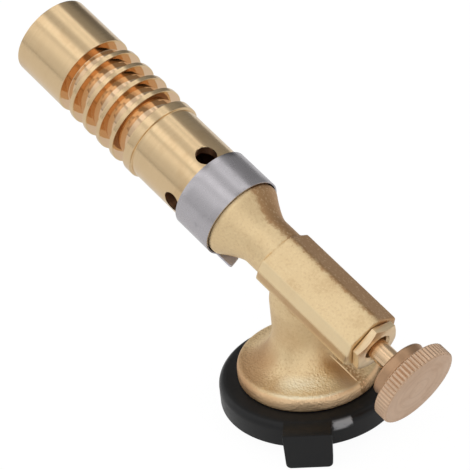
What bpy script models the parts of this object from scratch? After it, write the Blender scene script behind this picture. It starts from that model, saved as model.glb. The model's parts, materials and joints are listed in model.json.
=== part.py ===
# Gas torch for nozzle-type butane cartridges. All lengths are in metres, and +Z is up.
# The origin is the centre of the collar's lower rim. The torch's own axis lies in the XZ plane,
# leans up towards +X, and crosses the collar's axis inside the valve block.
# A station is a distance along the torch's axis from that crossing, positive towards the burner.

from math import cos, pi, radians, sin, tau

import bmesh
import bpy
from mathutils import Matrix, Vector

# Shared clearances and overruns
CLEARANCE = 0.0003
OVERRUN = 0.004
SHARP_ANGLE = radians(28)

# Layout
TORCH_LEAN = radians(22)
AXIS_HEIGHT = 0.0438

# Burner tube, from its lower end to its mouth
TUBE_RADIUS = 0.0131
TUBE_WALL = 0.0031
TUBE_START = 0.0286
BAND_START = 0.0642
BAND_STEP = 0.0008
FIN_COUNT = 4
FIN_PITCH = 0.00656
FIN_TIP_WIDTH = 0.0018
GROOVE_DEPTH = 0.0022
GROOVE_FLANK = 0.0007
GROOVE_BACK = 0.0003
HEAD_START = 0.0988
HEAD_STEP = 0.0010
MOUTH_STATION = 0.1202
MOUTH_WALL = 0.0019
MOUTH_DEPTH = 0.0172
MOUTH_EDGE = 0.0004
BAND_EDGE = 0.0005
TUBE_STEPS = 48

# Air holes
AIR_HOLE_COUNT = 4
AIR_HOLE_RADIUS = 0.0035
AIR_HOLE_STATION = 0.0448
AIR_HOLE_TURN = radians(7)
AIR_HOLE_STEPS = 16

# Flame holder and its gauze
HOLDER_THICKNESS = 0.0070
HOLDER_PORT_RADIUS = 0.0013
HOLDER_PORT_CIRCLE = 0.0083
HOLDER_PORT_COUNT = 10
FIRST_PORT_SHARE = 1 / 3
HOLDER_CENTRE_RADIUS = 0.0042
HOLDER_STEPS = 40
PORT_STEPS = 8
GAUZE_THICKNESS = 0.0006
GAUZE_HOLE = 0.0017
GAUZE_PITCH = 0.0025
GAUZE_STEPS = 24

# Air sleeve
SLEEVE_WALL = 0.0005
SLEEVE_RUNNING_GAP = 0.00025
SLEEVE_START = 0.0268
SLEEVE_LENGTH = 0.0147
SLEEVE_TAB_STEPS = 8
SLEEVE_FREE_STEPS = 88
SLEEVE_TAB_LENGTH = 0.0060
SLEEVE_TAB_WIDTH = 0.0076
SLEEVE_TAB_CORNER = 0.0013
SLEEVE_TAB_TURN = radians(157)

# Torch body: bell and neck
BELL_STEP = 0.0004
BELL_STATION = 0.0255
BELL_DEPTH = 0.0095
NECK_RADIUS = 0.0085
BELL_POWER_SHARE = 1.3
BELL_POINTS = 7
SPIGOT_LENGTH = 0.0084
SPIGOT_WALL = 0.0023
NECK_STEPS = 40

# Torch body: valve block
BLOCK_START = -0.0312
BLOCK_END_TOP = 0.0078
BLOCK_END_BOTTOM = 0.0097
BLOCK_TOP = 0.0097
BLOCK_BOTTOM = 0.0103
BLOCK_HALF_WIDTH = 0.0100
BLOCK_SHOULDER_WIDTH = 0.0094
BLOCK_SHOULDER = 0.00464
BLOCK_RIDGE_HALF_WIDTH = 0.0009
BLOCK_EDGE = 0.0005
BLOCK_NOTCH_RADIUS = 0.0030
BLOCK_NOTCH_DROP = 0.0098
NOTCH_STEPS = 16

# Torch body: pedestal and dome
PEDESTAL_RADIUS = 0.0102
PEDESTAL_TOP = 0.0405
PEDESTAL_SHOULDER = 0.0045
FLARE_TOP = 0.0262
FLARE_BOTTOM = 0.0142
FLARE_RADIUS = 0.0205
FLARE_POINTS = 8
DOME_ROUNDING = 0.0018
DOME_ROUND_POINTS = 4
DOME_BAND_HEIGHT = 0.0027
DOME_STEPS = 48
SEAM_WIDTH = 0.0008
SEAM_PROUD = 0.0006

# Gas ways inside the body
JET_CHAMBER_WALL = 0.0023
JET_CHAMBER_FLOOR = 0.0262
JET_THREAD_RADIUS = 0.0034
JET_THREAD_LENGTH = 0.0070
GAS_WAY_RADIUS = 0.0015
VALVE_CHAMBER_RADIUS = 0.0034
VALVE_CHAMBER_END = 0.0032
INLET_WAY_RADIUS = 0.0020
GAS_STEPS = 16
BORE_STEPS = 24

# Jet
JET_HEX_FLATS = 0.0070
JET_HEX_LENGTH = 0.0037
JET_NOSE_RADIUS = 0.0026
JET_NOSE_LENGTH = 0.0100
JET_TIP_RADIUS = 0.0014
JET_TIP_LENGTH = 0.0022
JET_BORE_RADIUS = 0.0018
JET_ORIFICE_RADIUS = 0.0004
JET_ORIFICE_LENGTH = 0.0016
JET_FILTER_LENGTH = 0.0045

# Spindle and its seals
SPINDLE_RADIUS = 0.0033
SPINDLE_THREAD_RADIUS = 0.0039
SPINDLE_TRAVEL = 0.0015
SPINDLE_THREAD_END = -0.0105
RING_STATION = -0.0075
RING_SECTION_RADIUS = 0.00045
RING_GROOVE_WIDTH = 0.0018
RING_LAND = 0.0015
NEEDLE_RADIUS = 0.0011
NEEDLE_CONE_LENGTH = 0.0024
NEEDLE_POINT_RADIUS = 0.0002
SPINDLE_TAIL_RADIUS = 0.0024
SPINDLE_TAIL_LENGTH = 0.0095

# Gland: packing, washer and nut
GLAND_WALL = 0.0017
GLAND_FLOOR = -0.0228
PACKING_LENGTH = 0.0016
WASHER_THICKNESS = 0.0008
NUT_FLATS = 0.0150
NUT_TURN = radians(15)
NUT_LENGTH = 0.0026
NUT_CHAMFER_SHARE = 0.45
NUT_BORE_GAP = 0.0010
NUT_COUNTERSINK = 0.0007
HEX_SIDES = 6

# Valve knob
KNOB_BACK = -0.0414
KNOB_BOSS_RADIUS = 0.0040
KNOB_HUB_RADIUS = 0.0096
KNOB_HUB_CONE = 0.0009
KNOB_HUB_EDGE = 0.0006
KNOB_WAIST_RADIUS = 0.0089
KNOB_WAIST_STATION = -0.0455
KNOB_RIM_RADIUS = 0.0137
KNOB_RIM_BACK = -0.0470
KNOB_RIM_EDGE = 0.0006
KNOB_FACE = -0.0519
KNOB_FACE_CHAMFER = 0.0004
KNOB_RIDGE_COUNT = 60
KNOB_RIDGE_DEPTH = 0.0003
KNOB_HUB_STEPS = 40
KNOB_SKIN = 0.0011

# Collar
COLLAR_RADIUS = 0.0284
COLLAR_HEIGHT = 0.0082
COLLAR_EDGE = 0.0028
COLLAR_SKIRT = 0.0026
COLLAR_PLATE = 0.0027
COLLAR_LEDGE_WIDTH = 0.0042
COLLAR_STEPS = 56
TAB_TURN = radians(134.9)
TAB_WIDTH = 0.0150
TAB_OVERHANG = 0.0048
TAB_THICKNESS = 0.0036
TAB_DROP = 0.0041
TAB_CORNER = 0.0016
TAB_TAPER = 0.0004
TAB_STEP = 0.0002
TAB_ARM_OVERLAP = 0.0006
CORNER_POINTS = 3

# Bayonet plate and its screws
PLATE_BOTTOM = 0.0016
PLATE_THICKNESS = 0.0012
PLATE_WIDTH = 0.0047
CLAW_COUNT = 3
CLAW_REACH = 0.0024
CLAW_WIDTH = 0.0110
SCREW_INSET = 0.0025
SCREW_RADIUS = 0.0009
SCREW_LENGTH = 0.0052
SCREW_HEAD_RADIUS = 0.0017
SCREW_HEAD_HEIGHT = 0.0008
SCREW_SLOT_WIDTH = 0.0005
SCREW_SLOT_DEPTH = 0.0004
SCREW_STEPS = 12

# Inlet stem and its seals
BOSS_RADIUS = 0.0090
FLANGE_RADIUS = 0.0120
FLANGE_THICKNESS = 0.0020
STEM_RADIUS = 0.0034
STEM_LENGTH = 0.0100
STEM_FOOT = 0.0015
STEM_BORE_RADIUS = 0.0015
STEM_RING_HEIGHT = 0.0045
SEAL_RADIUS = 0.0056
SEAL_BORE_RADIUS = 0.0031
SEAL_THICKNESS = 0.0010
SOCKET_RADIUS = 0.0024
SOCKET_DEPTH = 0.0032
INLET_FILTER_LENGTH = 0.0040
RING_STEPS = 20
RING_SECTION_STEPS = 8

# Sizes that follow from the ones above
TUBE_BORE_RADIUS = TUBE_RADIUS - TUBE_WALL
GROOVE_RADIUS = TUBE_RADIUS - GROOVE_DEPTH
HEAD_RADIUS = TUBE_RADIUS + HEAD_STEP
TUBE_MOUTH_RADIUS = HEAD_RADIUS - MOUTH_WALL
MOUTH_FLOOR = MOUTH_STATION - MOUTH_DEPTH
FIN_RADIUS = HEAD_RADIUS
BAND_RADIUS = TUBE_RADIUS + BAND_STEP
BELL_RADIUS = TUBE_RADIUS + BELL_STEP
DOME_RADIUS = FLARE_RADIUS + DOME_ROUNDING
SLEEVE_INNER_RADIUS = BELL_RADIUS + SLEEVE_RUNNING_GAP
SLEEVE_RADIUS = SLEEVE_INNER_RADIUS + SLEEVE_WALL
SPIGOT_START = TUBE_START - CLEARANCE
SPIGOT_RADIUS = TUBE_RADIUS - SPIGOT_WALL + CLEARANCE
SPIGOT_END = SPIGOT_START + SPIGOT_LENGTH
TUBE_SOCKET_RADIUS = SPIGOT_RADIUS + CLEARANCE
JET_CHAMBER_RADIUS = SPIGOT_RADIUS - JET_CHAMBER_WALL
JET_THREAD_START = JET_CHAMBER_FLOOR - JET_THREAD_LENGTH
SPINDLE_BORE_RADIUS = SPINDLE_THREAD_RADIUS + CLEARANCE
SPINDLE_THREAD_START = GLAND_FLOOR + SPINDLE_TRAVEL + CLEARANCE
SPINDLE_SHOULDER = KNOB_BACK
GLAND_BORE_RADIUS = SPINDLE_BORE_RADIUS + GLAND_WALL
GLAND_OUTER_RADIUS = GLAND_BORE_RADIUS - CLEARANCE
GLAND_INNER_RADIUS = SPINDLE_RADIUS + CLEARANCE
PACKING_START = GLAND_FLOOR - CLEARANCE
WASHER_START = PACKING_START - PACKING_LENGTH - CLEARANCE
NOSE_START = WASHER_START - WASHER_THICKNESS - CLEARANCE
NUT_SEAT = BLOCK_START - CLEARANCE
NUT_FACE = NUT_SEAT - NUT_LENGTH
NUT_BORE_RADIUS = SPINDLE_RADIUS + NUT_BORE_GAP
DOME_BOTTOM = COLLAR_HEIGHT + CLEARANCE
PLATE_TOP = PLATE_BOTTOM + PLATE_THICKNESS
LEDGE_BOTTOM = PLATE_TOP + CLEARANCE
COLLAR_CEILING = COLLAR_HEIGHT - COLLAR_PLATE
COLLAR_INNER_RADIUS = COLLAR_RADIUS - COLLAR_SKIRT
COLLAR_LEDGE_RADIUS = COLLAR_INNER_RADIUS - COLLAR_LEDGE_WIDTH
COLLAR_HOLE_RADIUS = BOSS_RADIUS + CLEARANCE
TAB_REACH = COLLAR_RADIUS + TAB_OVERHANG
TAB_TOP = COLLAR_HEIGHT - TAB_STEP
PLATE_RADIUS = COLLAR_INNER_RADIUS - CLEARANCE
PLATE_OPENING_RADIUS = PLATE_RADIUS - PLATE_WIDTH
SCREW_CIRCLE = COLLAR_INNER_RADIUS - SCREW_INSET
SCREW_HOLE_RADIUS = SCREW_RADIUS + CLEARANCE
FLANGE_TOP = COLLAR_CEILING - CLEARANCE
FLANGE_BOTTOM = FLANGE_TOP - FLANGE_THICKNESS
BOSS_BOTTOM = FLANGE_TOP + CLEARANCE
STEM_TOP = FLANGE_TOP + STEM_LENGTH
STEM_SOCKET_RADIUS = STEM_RADIUS + CLEARANCE
STEM_SOCKET_TOP = STEM_TOP + CLEARANCE


def clear_scene():
    """Removes whatever the scene holds."""
    for thing in list(bpy.data.objects):
        bpy.data.objects.remove(thing)


def torch_frame():
    """The placement whose +Z runs along the torch's axis and whose -X is its upper side."""
    return Matrix.Translation((0, 0, AXIS_HEIGHT)) @ Matrix.Rotation(pi / 2 - TORCH_LEAN, 4, "Y")


def direction(turn):
    """A unit vector square to the torch's axis, at a turn from its upper side towards +Y."""
    return Vector((-cos(turn), sin(turn), 0))


def place(mesh, name, parent=None, local=None):
    """An object for a bmesh, with its faces turned outwards, under its parent empty."""
    bmesh.ops.recalc_face_normals(mesh, faces=mesh.faces)
    data = bpy.data.meshes.new(name)
    mesh.to_mesh(data)
    mesh.free()
    thing = bpy.data.objects.new(name, data)
    bpy.context.scene.collection.objects.link(thing)
    thing.parent = parent
    if local is not None:
        thing.matrix_local = local
    return thing


def join_rings(mesh, first, second):
    """Faces between two rings of as many points each."""
    for i in range(len(first)):
        j = (i + 1) % len(first)
        mesh.faces.new((first[i], first[j], second[j], second[i]))


def close_rings(mesh, rings, capped):
    """Faces along a row of rings, with flat ends or with the last joined to the first."""
    for lower, upper in zip(rings, rings[1:]):
        join_rings(mesh, lower, upper)
    if capped:
        mesh.faces.new(rings[0])
        mesh.faces.new(rings[-1])
    else:
        join_rings(mesh, rings[-1], rings[0])


def gathered(pieces):
    """One bmesh that holds several, for a cutter with many separate parts."""
    whole = bmesh.new()
    for piece in pieces:
        data = bpy.data.meshes.new("piece")
        piece.to_mesh(data)
        piece.free()
        whole.from_mesh(data)
        bpy.data.meshes.remove(data)
    return whole


def turned_mesh(outline, steps, first_turn=0.0):
    """A closed solid turned from (radius, height) points; one that starts on the axis has flat ends."""
    mesh = bmesh.new()
    turns = [first_turn + tau * i / steps for i in range(steps)]
    rings = [
        [mesh.verts.new((radius * cos(turn), radius * sin(turn), height)) for turn in turns]
        for radius, height in outline if radius > 0
    ]
    close_rings(mesh, rings, outline[0][0] == 0)
    return mesh


def turned(name, outline, steps, parent=None, first_turn=0.0):
    """A turned solid as an object."""
    return place(turned_mesh(outline, steps, first_turn), name, parent)


def rod_outline(radius, bottom, top):
    """The outline of a plain rod."""
    return [(0, bottom), (radius, bottom), (radius, top), (0, top)]


def ring_outline(outer, inner, bottom, top):
    """The outline of a plain ring."""
    return [(outer, bottom), (outer, top), (inner, top), (inner, bottom)]


def prism_mesh(outline, low, high):
    """A prism with an outline of (x, y) points, from one height to another."""
    mesh = bmesh.new()
    rings = [[mesh.verts.new((x, y, height)) for x, y in outline] for height in (low, high)]
    close_rings(mesh, rings, True)
    return mesh


def arc(centre, radius, start, end, points):
    """Points along an arc in a plane, both ends included."""
    turns = [start + (end - start) * i / points for i in range(points + 1)]
    return [(centre[0] + radius * cos(t), centre[1] + radius * sin(t)) for t in turns]


def combine(target, other, operation):
    """Joins another solid to the target, or cuts it away, and hides the other."""
    other.hide_render = True
    other.display_type = "WIRE"
    step = target.modifiers.new(f"{operation.lower()}_{other.name}", "BOOLEAN")
    step.operation = operation
    step.solver = "EXACT"
    step.object = other


def settle(thing, finish):
    """Applies the modifiers, shades the round faces smooth and gives the piece its finish."""
    bpy.context.view_layer.update()
    graph = bpy.context.evaluated_depsgraph_get()
    data = bpy.data.meshes.new_from_object(thing.evaluated_get(graph))
    others = [step.object for step in thing.modifiers if step.type == "BOOLEAN"]
    thing.modifiers.clear()
    thing.data = data
    data.name = thing.name
    for other in others:
        bpy.data.objects.remove(other)
    data.shade_smooth()
    data.set_sharp_from_angle(angle=SHARP_ANGLE)
    data.materials.clear()
    data.materials.append(finish)
    return thing


def finish(name, colour, roughness, metallic):
    """A Principled finish of one colour."""
    made = bpy.data.materials.new(name)
    made.use_nodes = True
    shader = made.node_tree.nodes["Principled BSDF"]
    shader.inputs["Base Color"].default_value = (*colour, 1)
    shader.inputs["Roughness"].default_value = roughness
    shader.inputs["Metallic"].default_value = metallic
    return made


def satin_brass(name):
    """Turned brass with a satin surface."""
    return finish(name, (0.72, 0.56, 0.33), 0.32, 1)


def forged_brass(name):
    """Forged and tumbled brass."""
    return finish(name, (0.70, 0.55, 0.34), 0.42, 1)


def tanned_brass(name):
    """Brass that has gone brownish from handling."""
    return finish(name, (0.62, 0.45, 0.30), 0.40, 1)


def satin_steel(name):
    """Satin stainless steel."""
    return finish(name, (0.62, 0.62, 0.62), 0.30, 1)


def black_plastic(name):
    """Black moulded plastic."""
    return finish(name, (0.016, 0.016, 0.017), 0.35, 0)


def black_rubber(name):
    """Black rubber of the seals."""
    return finish(name, (0.02, 0.02, 0.02), 0.70, 0)


def white_packing(name):
    """White packing of the gland."""
    return finish(name, (0.80, 0.80, 0.78), 0.55, 0)


def sintered_bronze(name):
    """Sintered bronze of the filters."""
    return finish(name, (0.48, 0.34, 0.20), 0.75, 1)


def fin_outline():
    """The grooves from the band up to the head: each a steep flank, a flat valley and a steeper back."""
    points = []
    for i in range(FIN_COUNT + 1):
        top = HEAD_START - i * FIN_PITCH
        tip = top - FIN_PITCH + FIN_TIP_WIDTH
        points += [(FIN_RADIUS, top), (GROOVE_RADIUS, top - GROOVE_FLANK), (GROOVE_RADIUS, tip + GROOVE_BACK)]
        if i < FIN_COUNT:
            points.append((FIN_RADIUS, tip))
    return points[::-1]


def burner_tube(parent):
    """Turned brass tube: socket for the body, air holes, band, fins, head and mouth."""
    lowest_fin = HEAD_START - FIN_COUNT * FIN_PITCH
    band_end = lowest_fin - FIN_PITCH + FIN_TIP_WIDTH
    outline = [(TUBE_RADIUS, TUBE_START), (TUBE_RADIUS, BAND_START - BAND_EDGE), (BAND_RADIUS, BAND_START)]
    outline += [(BAND_RADIUS, band_end)]
    outline += fin_outline()[:-1]
    outline += [(HEAD_RADIUS, HEAD_START), (HEAD_RADIUS, MOUTH_STATION - MOUTH_EDGE)]
    outline += [(HEAD_RADIUS - MOUTH_EDGE, MOUTH_STATION), (TUBE_MOUTH_RADIUS, MOUTH_STATION)]
    outline += [(TUBE_MOUTH_RADIUS, MOUTH_FLOOR), (TUBE_BORE_RADIUS, MOUTH_FLOOR)]
    outline += [(TUBE_BORE_RADIUS, SPIGOT_END + CLEARANCE), (TUBE_SOCKET_RADIUS, SPIGOT_END + CLEARANCE)]
    outline += [(TUBE_SOCKET_RADIUS, TUBE_START)]
    tube = turned("burner_tube", outline, TUBE_STEPS, parent)
    holes = []
    for i in range(AIR_HOLE_COUNT):
        drill = rod_outline(AIR_HOLE_RADIUS, AIR_HOLE_RADIUS, TUBE_RADIUS + OVERRUN)
        hole = turned_mesh(drill, AIR_HOLE_STEPS)
        way = direction(AIR_HOLE_TURN + tau * i / AIR_HOLE_COUNT)
        aim = way.to_track_quat("Z", "Y").to_matrix().to_4x4()
        hole.transform(Matrix.Translation((0, 0, AIR_HOLE_STATION)) @ aim)
        holes.append(hole)
    combine(tube, place(gathered(holes), "air_holes", parent), "DIFFERENCE")
    return settle(tube, satin_brass("turned_brass_tube"))


def flame_holder(parent):
    """Brass plug in the mouth with a centre port and a ring of small ports."""
    start = MOUTH_FLOOR + CLEARANCE + GAUZE_THICKNESS + CLEARANCE
    end = start + HOLDER_THICKNESS
    outline = ring_outline(TUBE_MOUTH_RADIUS - CLEARANCE, HOLDER_CENTRE_RADIUS, start, end)
    holder = turned("flame_holder", outline, HOLDER_STEPS, parent)
    ports = []
    for i in range(HOLDER_PORT_COUNT):
        turn = tau * (i + FIRST_PORT_SHARE) / HOLDER_PORT_COUNT
        port = turned_mesh(rod_outline(HOLDER_PORT_RADIUS, start - OVERRUN, end + OVERRUN), PORT_STEPS)
        port.transform(Matrix.Translation(HOLDER_PORT_CIRCLE * direction(turn)))
        ports.append(port)
    combine(holder, place(gathered(ports), "flame_ports", parent), "DIFFERENCE")
    return settle(holder, satin_brass("flame_holder_brass"))


def gauze_places():
    """Centres of the gauze's holes: a square grid as far as the rim allows."""
    reach = TUBE_BORE_RADIUS - GAUZE_HOLE / 2
    count = int(reach / GAUZE_PITCH)
    steps = [i * GAUZE_PITCH for i in range(-count, count + 1)]
    return [(x, y) for x in steps for y in steps if Vector((x, y)).length < reach]


def flame_gauze(parent):
    """Perforated steel disc between the tube's step and the flame holder."""
    start = MOUTH_FLOOR + CLEARANCE
    end = start + GAUZE_THICKNESS
    disc = rod_outline(TUBE_MOUTH_RADIUS - CLEARANCE, start, end)
    gauze = turned("flame_gauze", disc, GAUZE_STEPS, parent)
    half = GAUZE_HOLE / 2
    holes = []
    for x, y in gauze_places():
        square = [(x - half, y - half), (x + half, y - half), (x + half, y + half), (x - half, y + half)]
        holes.append(prism_mesh(square, start - OVERRUN, end + OVERRUN))
    combine(gauze, place(gathered(holes), "gauze_holes", parent), "DIFFERENCE")
    return settle(gauze, satin_steel("gauze_steel"))


def tab_edge(offset):
    """Station of the sleeve tab's lower edge at a distance round the sleeve from its middle."""
    into_corner = max(abs(offset) - (SLEEVE_TAB_WIDTH / 2 - SLEEVE_TAB_CORNER), 0)
    rise = SLEEVE_TAB_CORNER - max(SLEEVE_TAB_CORNER**2 - into_corner**2, 0) ** 0.5
    return SLEEVE_START - SLEEVE_TAB_LENGTH + rise


def sleeve_columns():
    """Turns of the sleeve's points, each with the heights of its points; the tab's go lower."""
    ends = [SLEEVE_START + SLEEVE_LENGTH, SLEEVE_START]
    half = SLEEVE_TAB_WIDTH / 2
    columns = []
    for i in range(SLEEVE_TAB_STEPS + 1):
        offset = half * (2 * i / SLEEVE_TAB_STEPS - 1)
        columns.append((SLEEVE_TAB_TURN + offset / SLEEVE_RADIUS, ends + [tab_edge(offset)]))
    free = tau - SLEEVE_TAB_WIDTH / SLEEVE_RADIUS
    for i in range(1, SLEEVE_FREE_STEPS):
        columns.append((SLEEVE_TAB_TURN + half / SLEEVE_RADIUS + free * i / SLEEVE_FREE_STEPS, ends))
    return columns


def air_sleeve(parent):
    """Steel band that slides over the air holes, with its thumb tab."""
    mesh = bmesh.new()
    rows = []
    for turn, heights in sleeve_columns():
        out = SLEEVE_RADIUS * direction(turn)
        rows.append([mesh.verts.new((out.x, out.y, height)) for height in heights])
    for i, row in enumerate(rows):
        after = rows[(i + 1) % len(rows)]
        mesh.faces.new((row[0], after[0], after[1], row[1]))
        if len(row) == 3 and len(after) == 3:
            mesh.faces.new((row[1], after[1], after[2], row[2]))
    sleeve = place(mesh, "air_sleeve", parent)
    if sleeve.data.polygons[0].normal.dot(sleeve.data.polygons[0].center.to_2d().to_3d()) < 0:
        sleeve.data.flip_normals()
    wall = sleeve.modifiers.new("wall", "SOLIDIFY")
    wall.thickness = SLEEVE_WALL
    wall.offset = -1
    wall.use_even_offset = True
    return settle(sleeve, satin_steel("sleeve_steel"))


def bell_outline():
    """The bell and neck of the body, from inside the block to the spigot's end."""
    points = [(0, 0), (NECK_RADIUS, 0), (NECK_RADIUS, BELL_STATION - BELL_DEPTH)]
    for i in range(1, BELL_POINTS + 1):
        part = i / BELL_POINTS
        radius = NECK_RADIUS + (BELL_RADIUS - NECK_RADIUS) * part**BELL_POWER_SHARE
        points.append((radius, BELL_STATION - BELL_DEPTH * (1 - part)))
    points += [(BELL_RADIUS, SPIGOT_START), (SPIGOT_RADIUS, SPIGOT_START)]
    points += [(SPIGOT_RADIUS, SPIGOT_END), (0, SPIGOT_END)]
    return points


def valve_block(parent):
    """The six-sided valve block, whose front end slants from its top to its bottom."""
    half = [(BLOCK_RIDGE_HALF_WIDTH, BLOCK_TOP), (BLOCK_SHOULDER_WIDTH, BLOCK_SHOULDER)]
    half += [(BLOCK_HALF_WIDTH, 0), (BLOCK_SHOULDER_WIDTH, -BLOCK_SHOULDER)]
    half += [(BLOCK_RIDGE_HALF_WIDTH, -BLOCK_BOTTOM)]
    outline = half + [(-width, height) for width, height in reversed(half)]
    slope = (BLOCK_END_BOTTOM - BLOCK_END_TOP) / (BLOCK_TOP + BLOCK_BOTTOM)
    mesh = bmesh.new()
    rings = []
    shrink = 1 - BLOCK_EDGE / BLOCK_HALF_WIDTH
    levels = [
        (BLOCK_START, shrink, 0), (BLOCK_START + BLOCK_EDGE, 1, 0),
        (BLOCK_END_TOP - BLOCK_EDGE, 1, 1), (BLOCK_END_TOP, shrink, 1),
    ]
    for station, share, lean in levels:
        rings.append([
            mesh.verts.new((-height * share, width * share, station + lean * slope * (BLOCK_TOP - height)))
            for width, height in outline
        ])
    close_rings(mesh, rings, True)
    return place(mesh, "valve_block", parent)


def flare_points():
    """The hollow flare from the dome's rim up to the pedestal, a quarter of an ellipse."""
    points = []
    for i in range(FLARE_POINTS + 1):
        turn = pi / 2 * i / FLARE_POINTS
        radius = FLARE_RADIUS - (FLARE_RADIUS - PEDESTAL_RADIUS) * sin(turn)
        points.append((radius, FLARE_TOP - (FLARE_TOP - FLARE_BOTTOM) * cos(turn)))
    return points


def pedestal_outline():
    """The pedestal's flare and the dome's rounded rim, turned about the collar's axis."""
    points = [(0, BOSS_BOTTOM), (BOSS_RADIUS, BOSS_BOTTOM)]
    points += [(BOSS_RADIUS, DOME_BOTTOM), (DOME_RADIUS, DOME_BOTTOM)]
    band_top = DOME_BOTTOM + DOME_BAND_HEIGHT
    centre = (FLARE_RADIUS, band_top)
    height_share = (FLARE_BOTTOM - band_top) / DOME_ROUNDING
    for radius, height in arc(centre, DOME_ROUNDING, 0, pi / 2, DOME_ROUND_POINTS):
        points.append((radius, band_top + (height - band_top) * height_share))
    points += flare_points()
    shoulder = PEDESTAL_TOP - PEDESTAL_SHOULDER
    points += [(PEDESTAL_RADIUS, shoulder)]
    drop = PEDESTAL_RADIUS - PEDESTAL_SHOULDER / 2
    bend = (drop + PEDESTAL_SHOULDER / 2 * cos(pi / 4), shoulder + PEDESTAL_SHOULDER * sin(pi / 4))
    points.append(bend)
    points += [(drop, PEDESTAL_TOP), (0, PEDESTAL_TOP)]
    return points


def body_way_outline():
    """What is bored along the torch's axis: gland, spindle bore, valve, gas way and jet chamber."""
    return [
        (0, BLOCK_START - OVERRUN), (GLAND_BORE_RADIUS, BLOCK_START - OVERRUN),
        (GLAND_BORE_RADIUS, GLAND_FLOOR), (SPINDLE_BORE_RADIUS, GLAND_FLOOR),
        (SPINDLE_BORE_RADIUS, -VALVE_CHAMBER_END), (VALVE_CHAMBER_RADIUS, -VALVE_CHAMBER_END),
        (VALVE_CHAMBER_RADIUS, VALVE_CHAMBER_END), (GAS_WAY_RADIUS, VALVE_CHAMBER_END + GAS_WAY_RADIUS),
        (GAS_WAY_RADIUS, JET_THREAD_START - CLEARANCE),
        (JET_THREAD_RADIUS + CLEARANCE, JET_THREAD_START - CLEARANCE),
        (JET_THREAD_RADIUS + CLEARANCE, JET_CHAMBER_FLOOR), (JET_CHAMBER_RADIUS, JET_CHAMBER_FLOOR),
        (JET_CHAMBER_RADIUS, SPIGOT_END + OVERRUN), (0, SPIGOT_END + OVERRUN),
    ]


def inlet_way_outline():
    """Everything bored up the collar's axis: the stem's socket and the inlet way."""
    return [
        (0, BOSS_BOTTOM - OVERRUN), (STEM_SOCKET_RADIUS, BOSS_BOTTOM - OVERRUN),
        (STEM_SOCKET_RADIUS, STEM_SOCKET_TOP), (INLET_WAY_RADIUS, STEM_SOCKET_TOP + INLET_WAY_RADIUS),
        (INLET_WAY_RADIUS, AXIS_HEIGHT), (0, AXIS_HEIGHT),
    ]


def seam_mesh():
    """The thin parting ridge down the flare under the knob."""
    side = []
    for i, (radius, height) in enumerate(flare_points()):
        proud = SEAM_PROUD * (1 - i / FLARE_POINTS)
        side.append((radius + proud, height + proud))
    inner = PEDESTAL_RADIUS - SEAM_WIDTH
    low = FLARE_BOTTOM - SEAM_WIDTH
    side += [(inner, FLARE_TOP), (inner, low), (FLARE_RADIUS, low)]
    mesh = prism_mesh(side, -SEAM_WIDTH / 2, SEAM_WIDTH / 2)
    mesh.transform(Matrix.Rotation(pi, 4, "Z") @ Matrix.Rotation(pi / 2, 4, "X"))
    return mesh


def torch_body(parent):
    """One forging: bell, neck, valve block, pedestal and dome, with all its bores."""
    body = place(turned_mesh(bell_outline(), NECK_STEPS), "torch_body", parent)
    combine(body, valve_block(parent), "UNION")
    combine(body, turned("pedestal", pedestal_outline(), DOME_STEPS), "UNION")
    combine(body, place(seam_mesh(), "parting_ridge"), "UNION")
    combine(body, turned("torch_way", body_way_outline(), BORE_STEPS, parent), "DIFFERENCE")
    combine(body, turned("inlet_way", inlet_way_outline(), GAS_STEPS), "DIFFERENCE")
    reach = BLOCK_HALF_WIDTH + OVERRUN
    notch = turned_mesh(rod_outline(BLOCK_NOTCH_RADIUS, -reach, reach), NOTCH_STEPS)
    notch.transform(Matrix.Translation((BLOCK_NOTCH_DROP, 0, BLOCK_START)) @ Matrix.Rotation(pi / 2, 4, "X"))
    combine(body, place(notch, "block_notch", parent), "DIFFERENCE")
    return settle(body, forged_brass("forged_brass_body"))


def hexagon_radius(flats):
    """Corner radius of a hexagon with a given width across flats."""
    return flats / 2 / cos(pi / HEX_SIDES)


def jet(parent):
    """Brass jet: threaded shank, hexagon, nose and fine orifice, bored from below."""
    hex_start = JET_CHAMBER_FLOOR + CLEARANCE
    hex_end = hex_start + JET_HEX_LENGTH
    nose_end = hex_end + JET_NOSE_LENGTH
    bore_end = nose_end - JET_ORIFICE_LENGTH
    outline = [(JET_THREAD_RADIUS, JET_THREAD_START), (JET_THREAD_RADIUS, hex_start + CLEARANCE)]
    outline += [(JET_NOSE_RADIUS, hex_start + CLEARANCE), (JET_NOSE_RADIUS, nose_end - JET_TIP_LENGTH)]
    outline += [(JET_TIP_RADIUS, nose_end), (JET_ORIFICE_RADIUS, nose_end), (JET_ORIFICE_RADIUS, bore_end)]
    outline += [(JET_BORE_RADIUS, bore_end - JET_BORE_RADIUS), (JET_BORE_RADIUS, JET_THREAD_START)]
    made = turned("jet", outline, GAS_STEPS, parent)
    wall = (JET_NOSE_RADIUS + JET_BORE_RADIUS) / 2
    nut = ring_outline(hexagon_radius(JET_HEX_FLATS), wall, hex_start, hex_end)
    combine(made, turned("jet_hexagon", nut, HEX_SIDES, parent), "UNION")
    return settle(made, satin_brass("jet_brass"))


def jet_filter(parent):
    """Sintered plug in the jet's bore."""
    start = JET_THREAD_START + CLEARANCE
    outline = rod_outline(JET_BORE_RADIUS - CLEARANCE / 2, start, start + JET_FILTER_LENGTH)
    return settle(turned("jet_filter", outline, GAS_STEPS, parent), sintered_bronze("jet_filter_bronze"))


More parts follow.
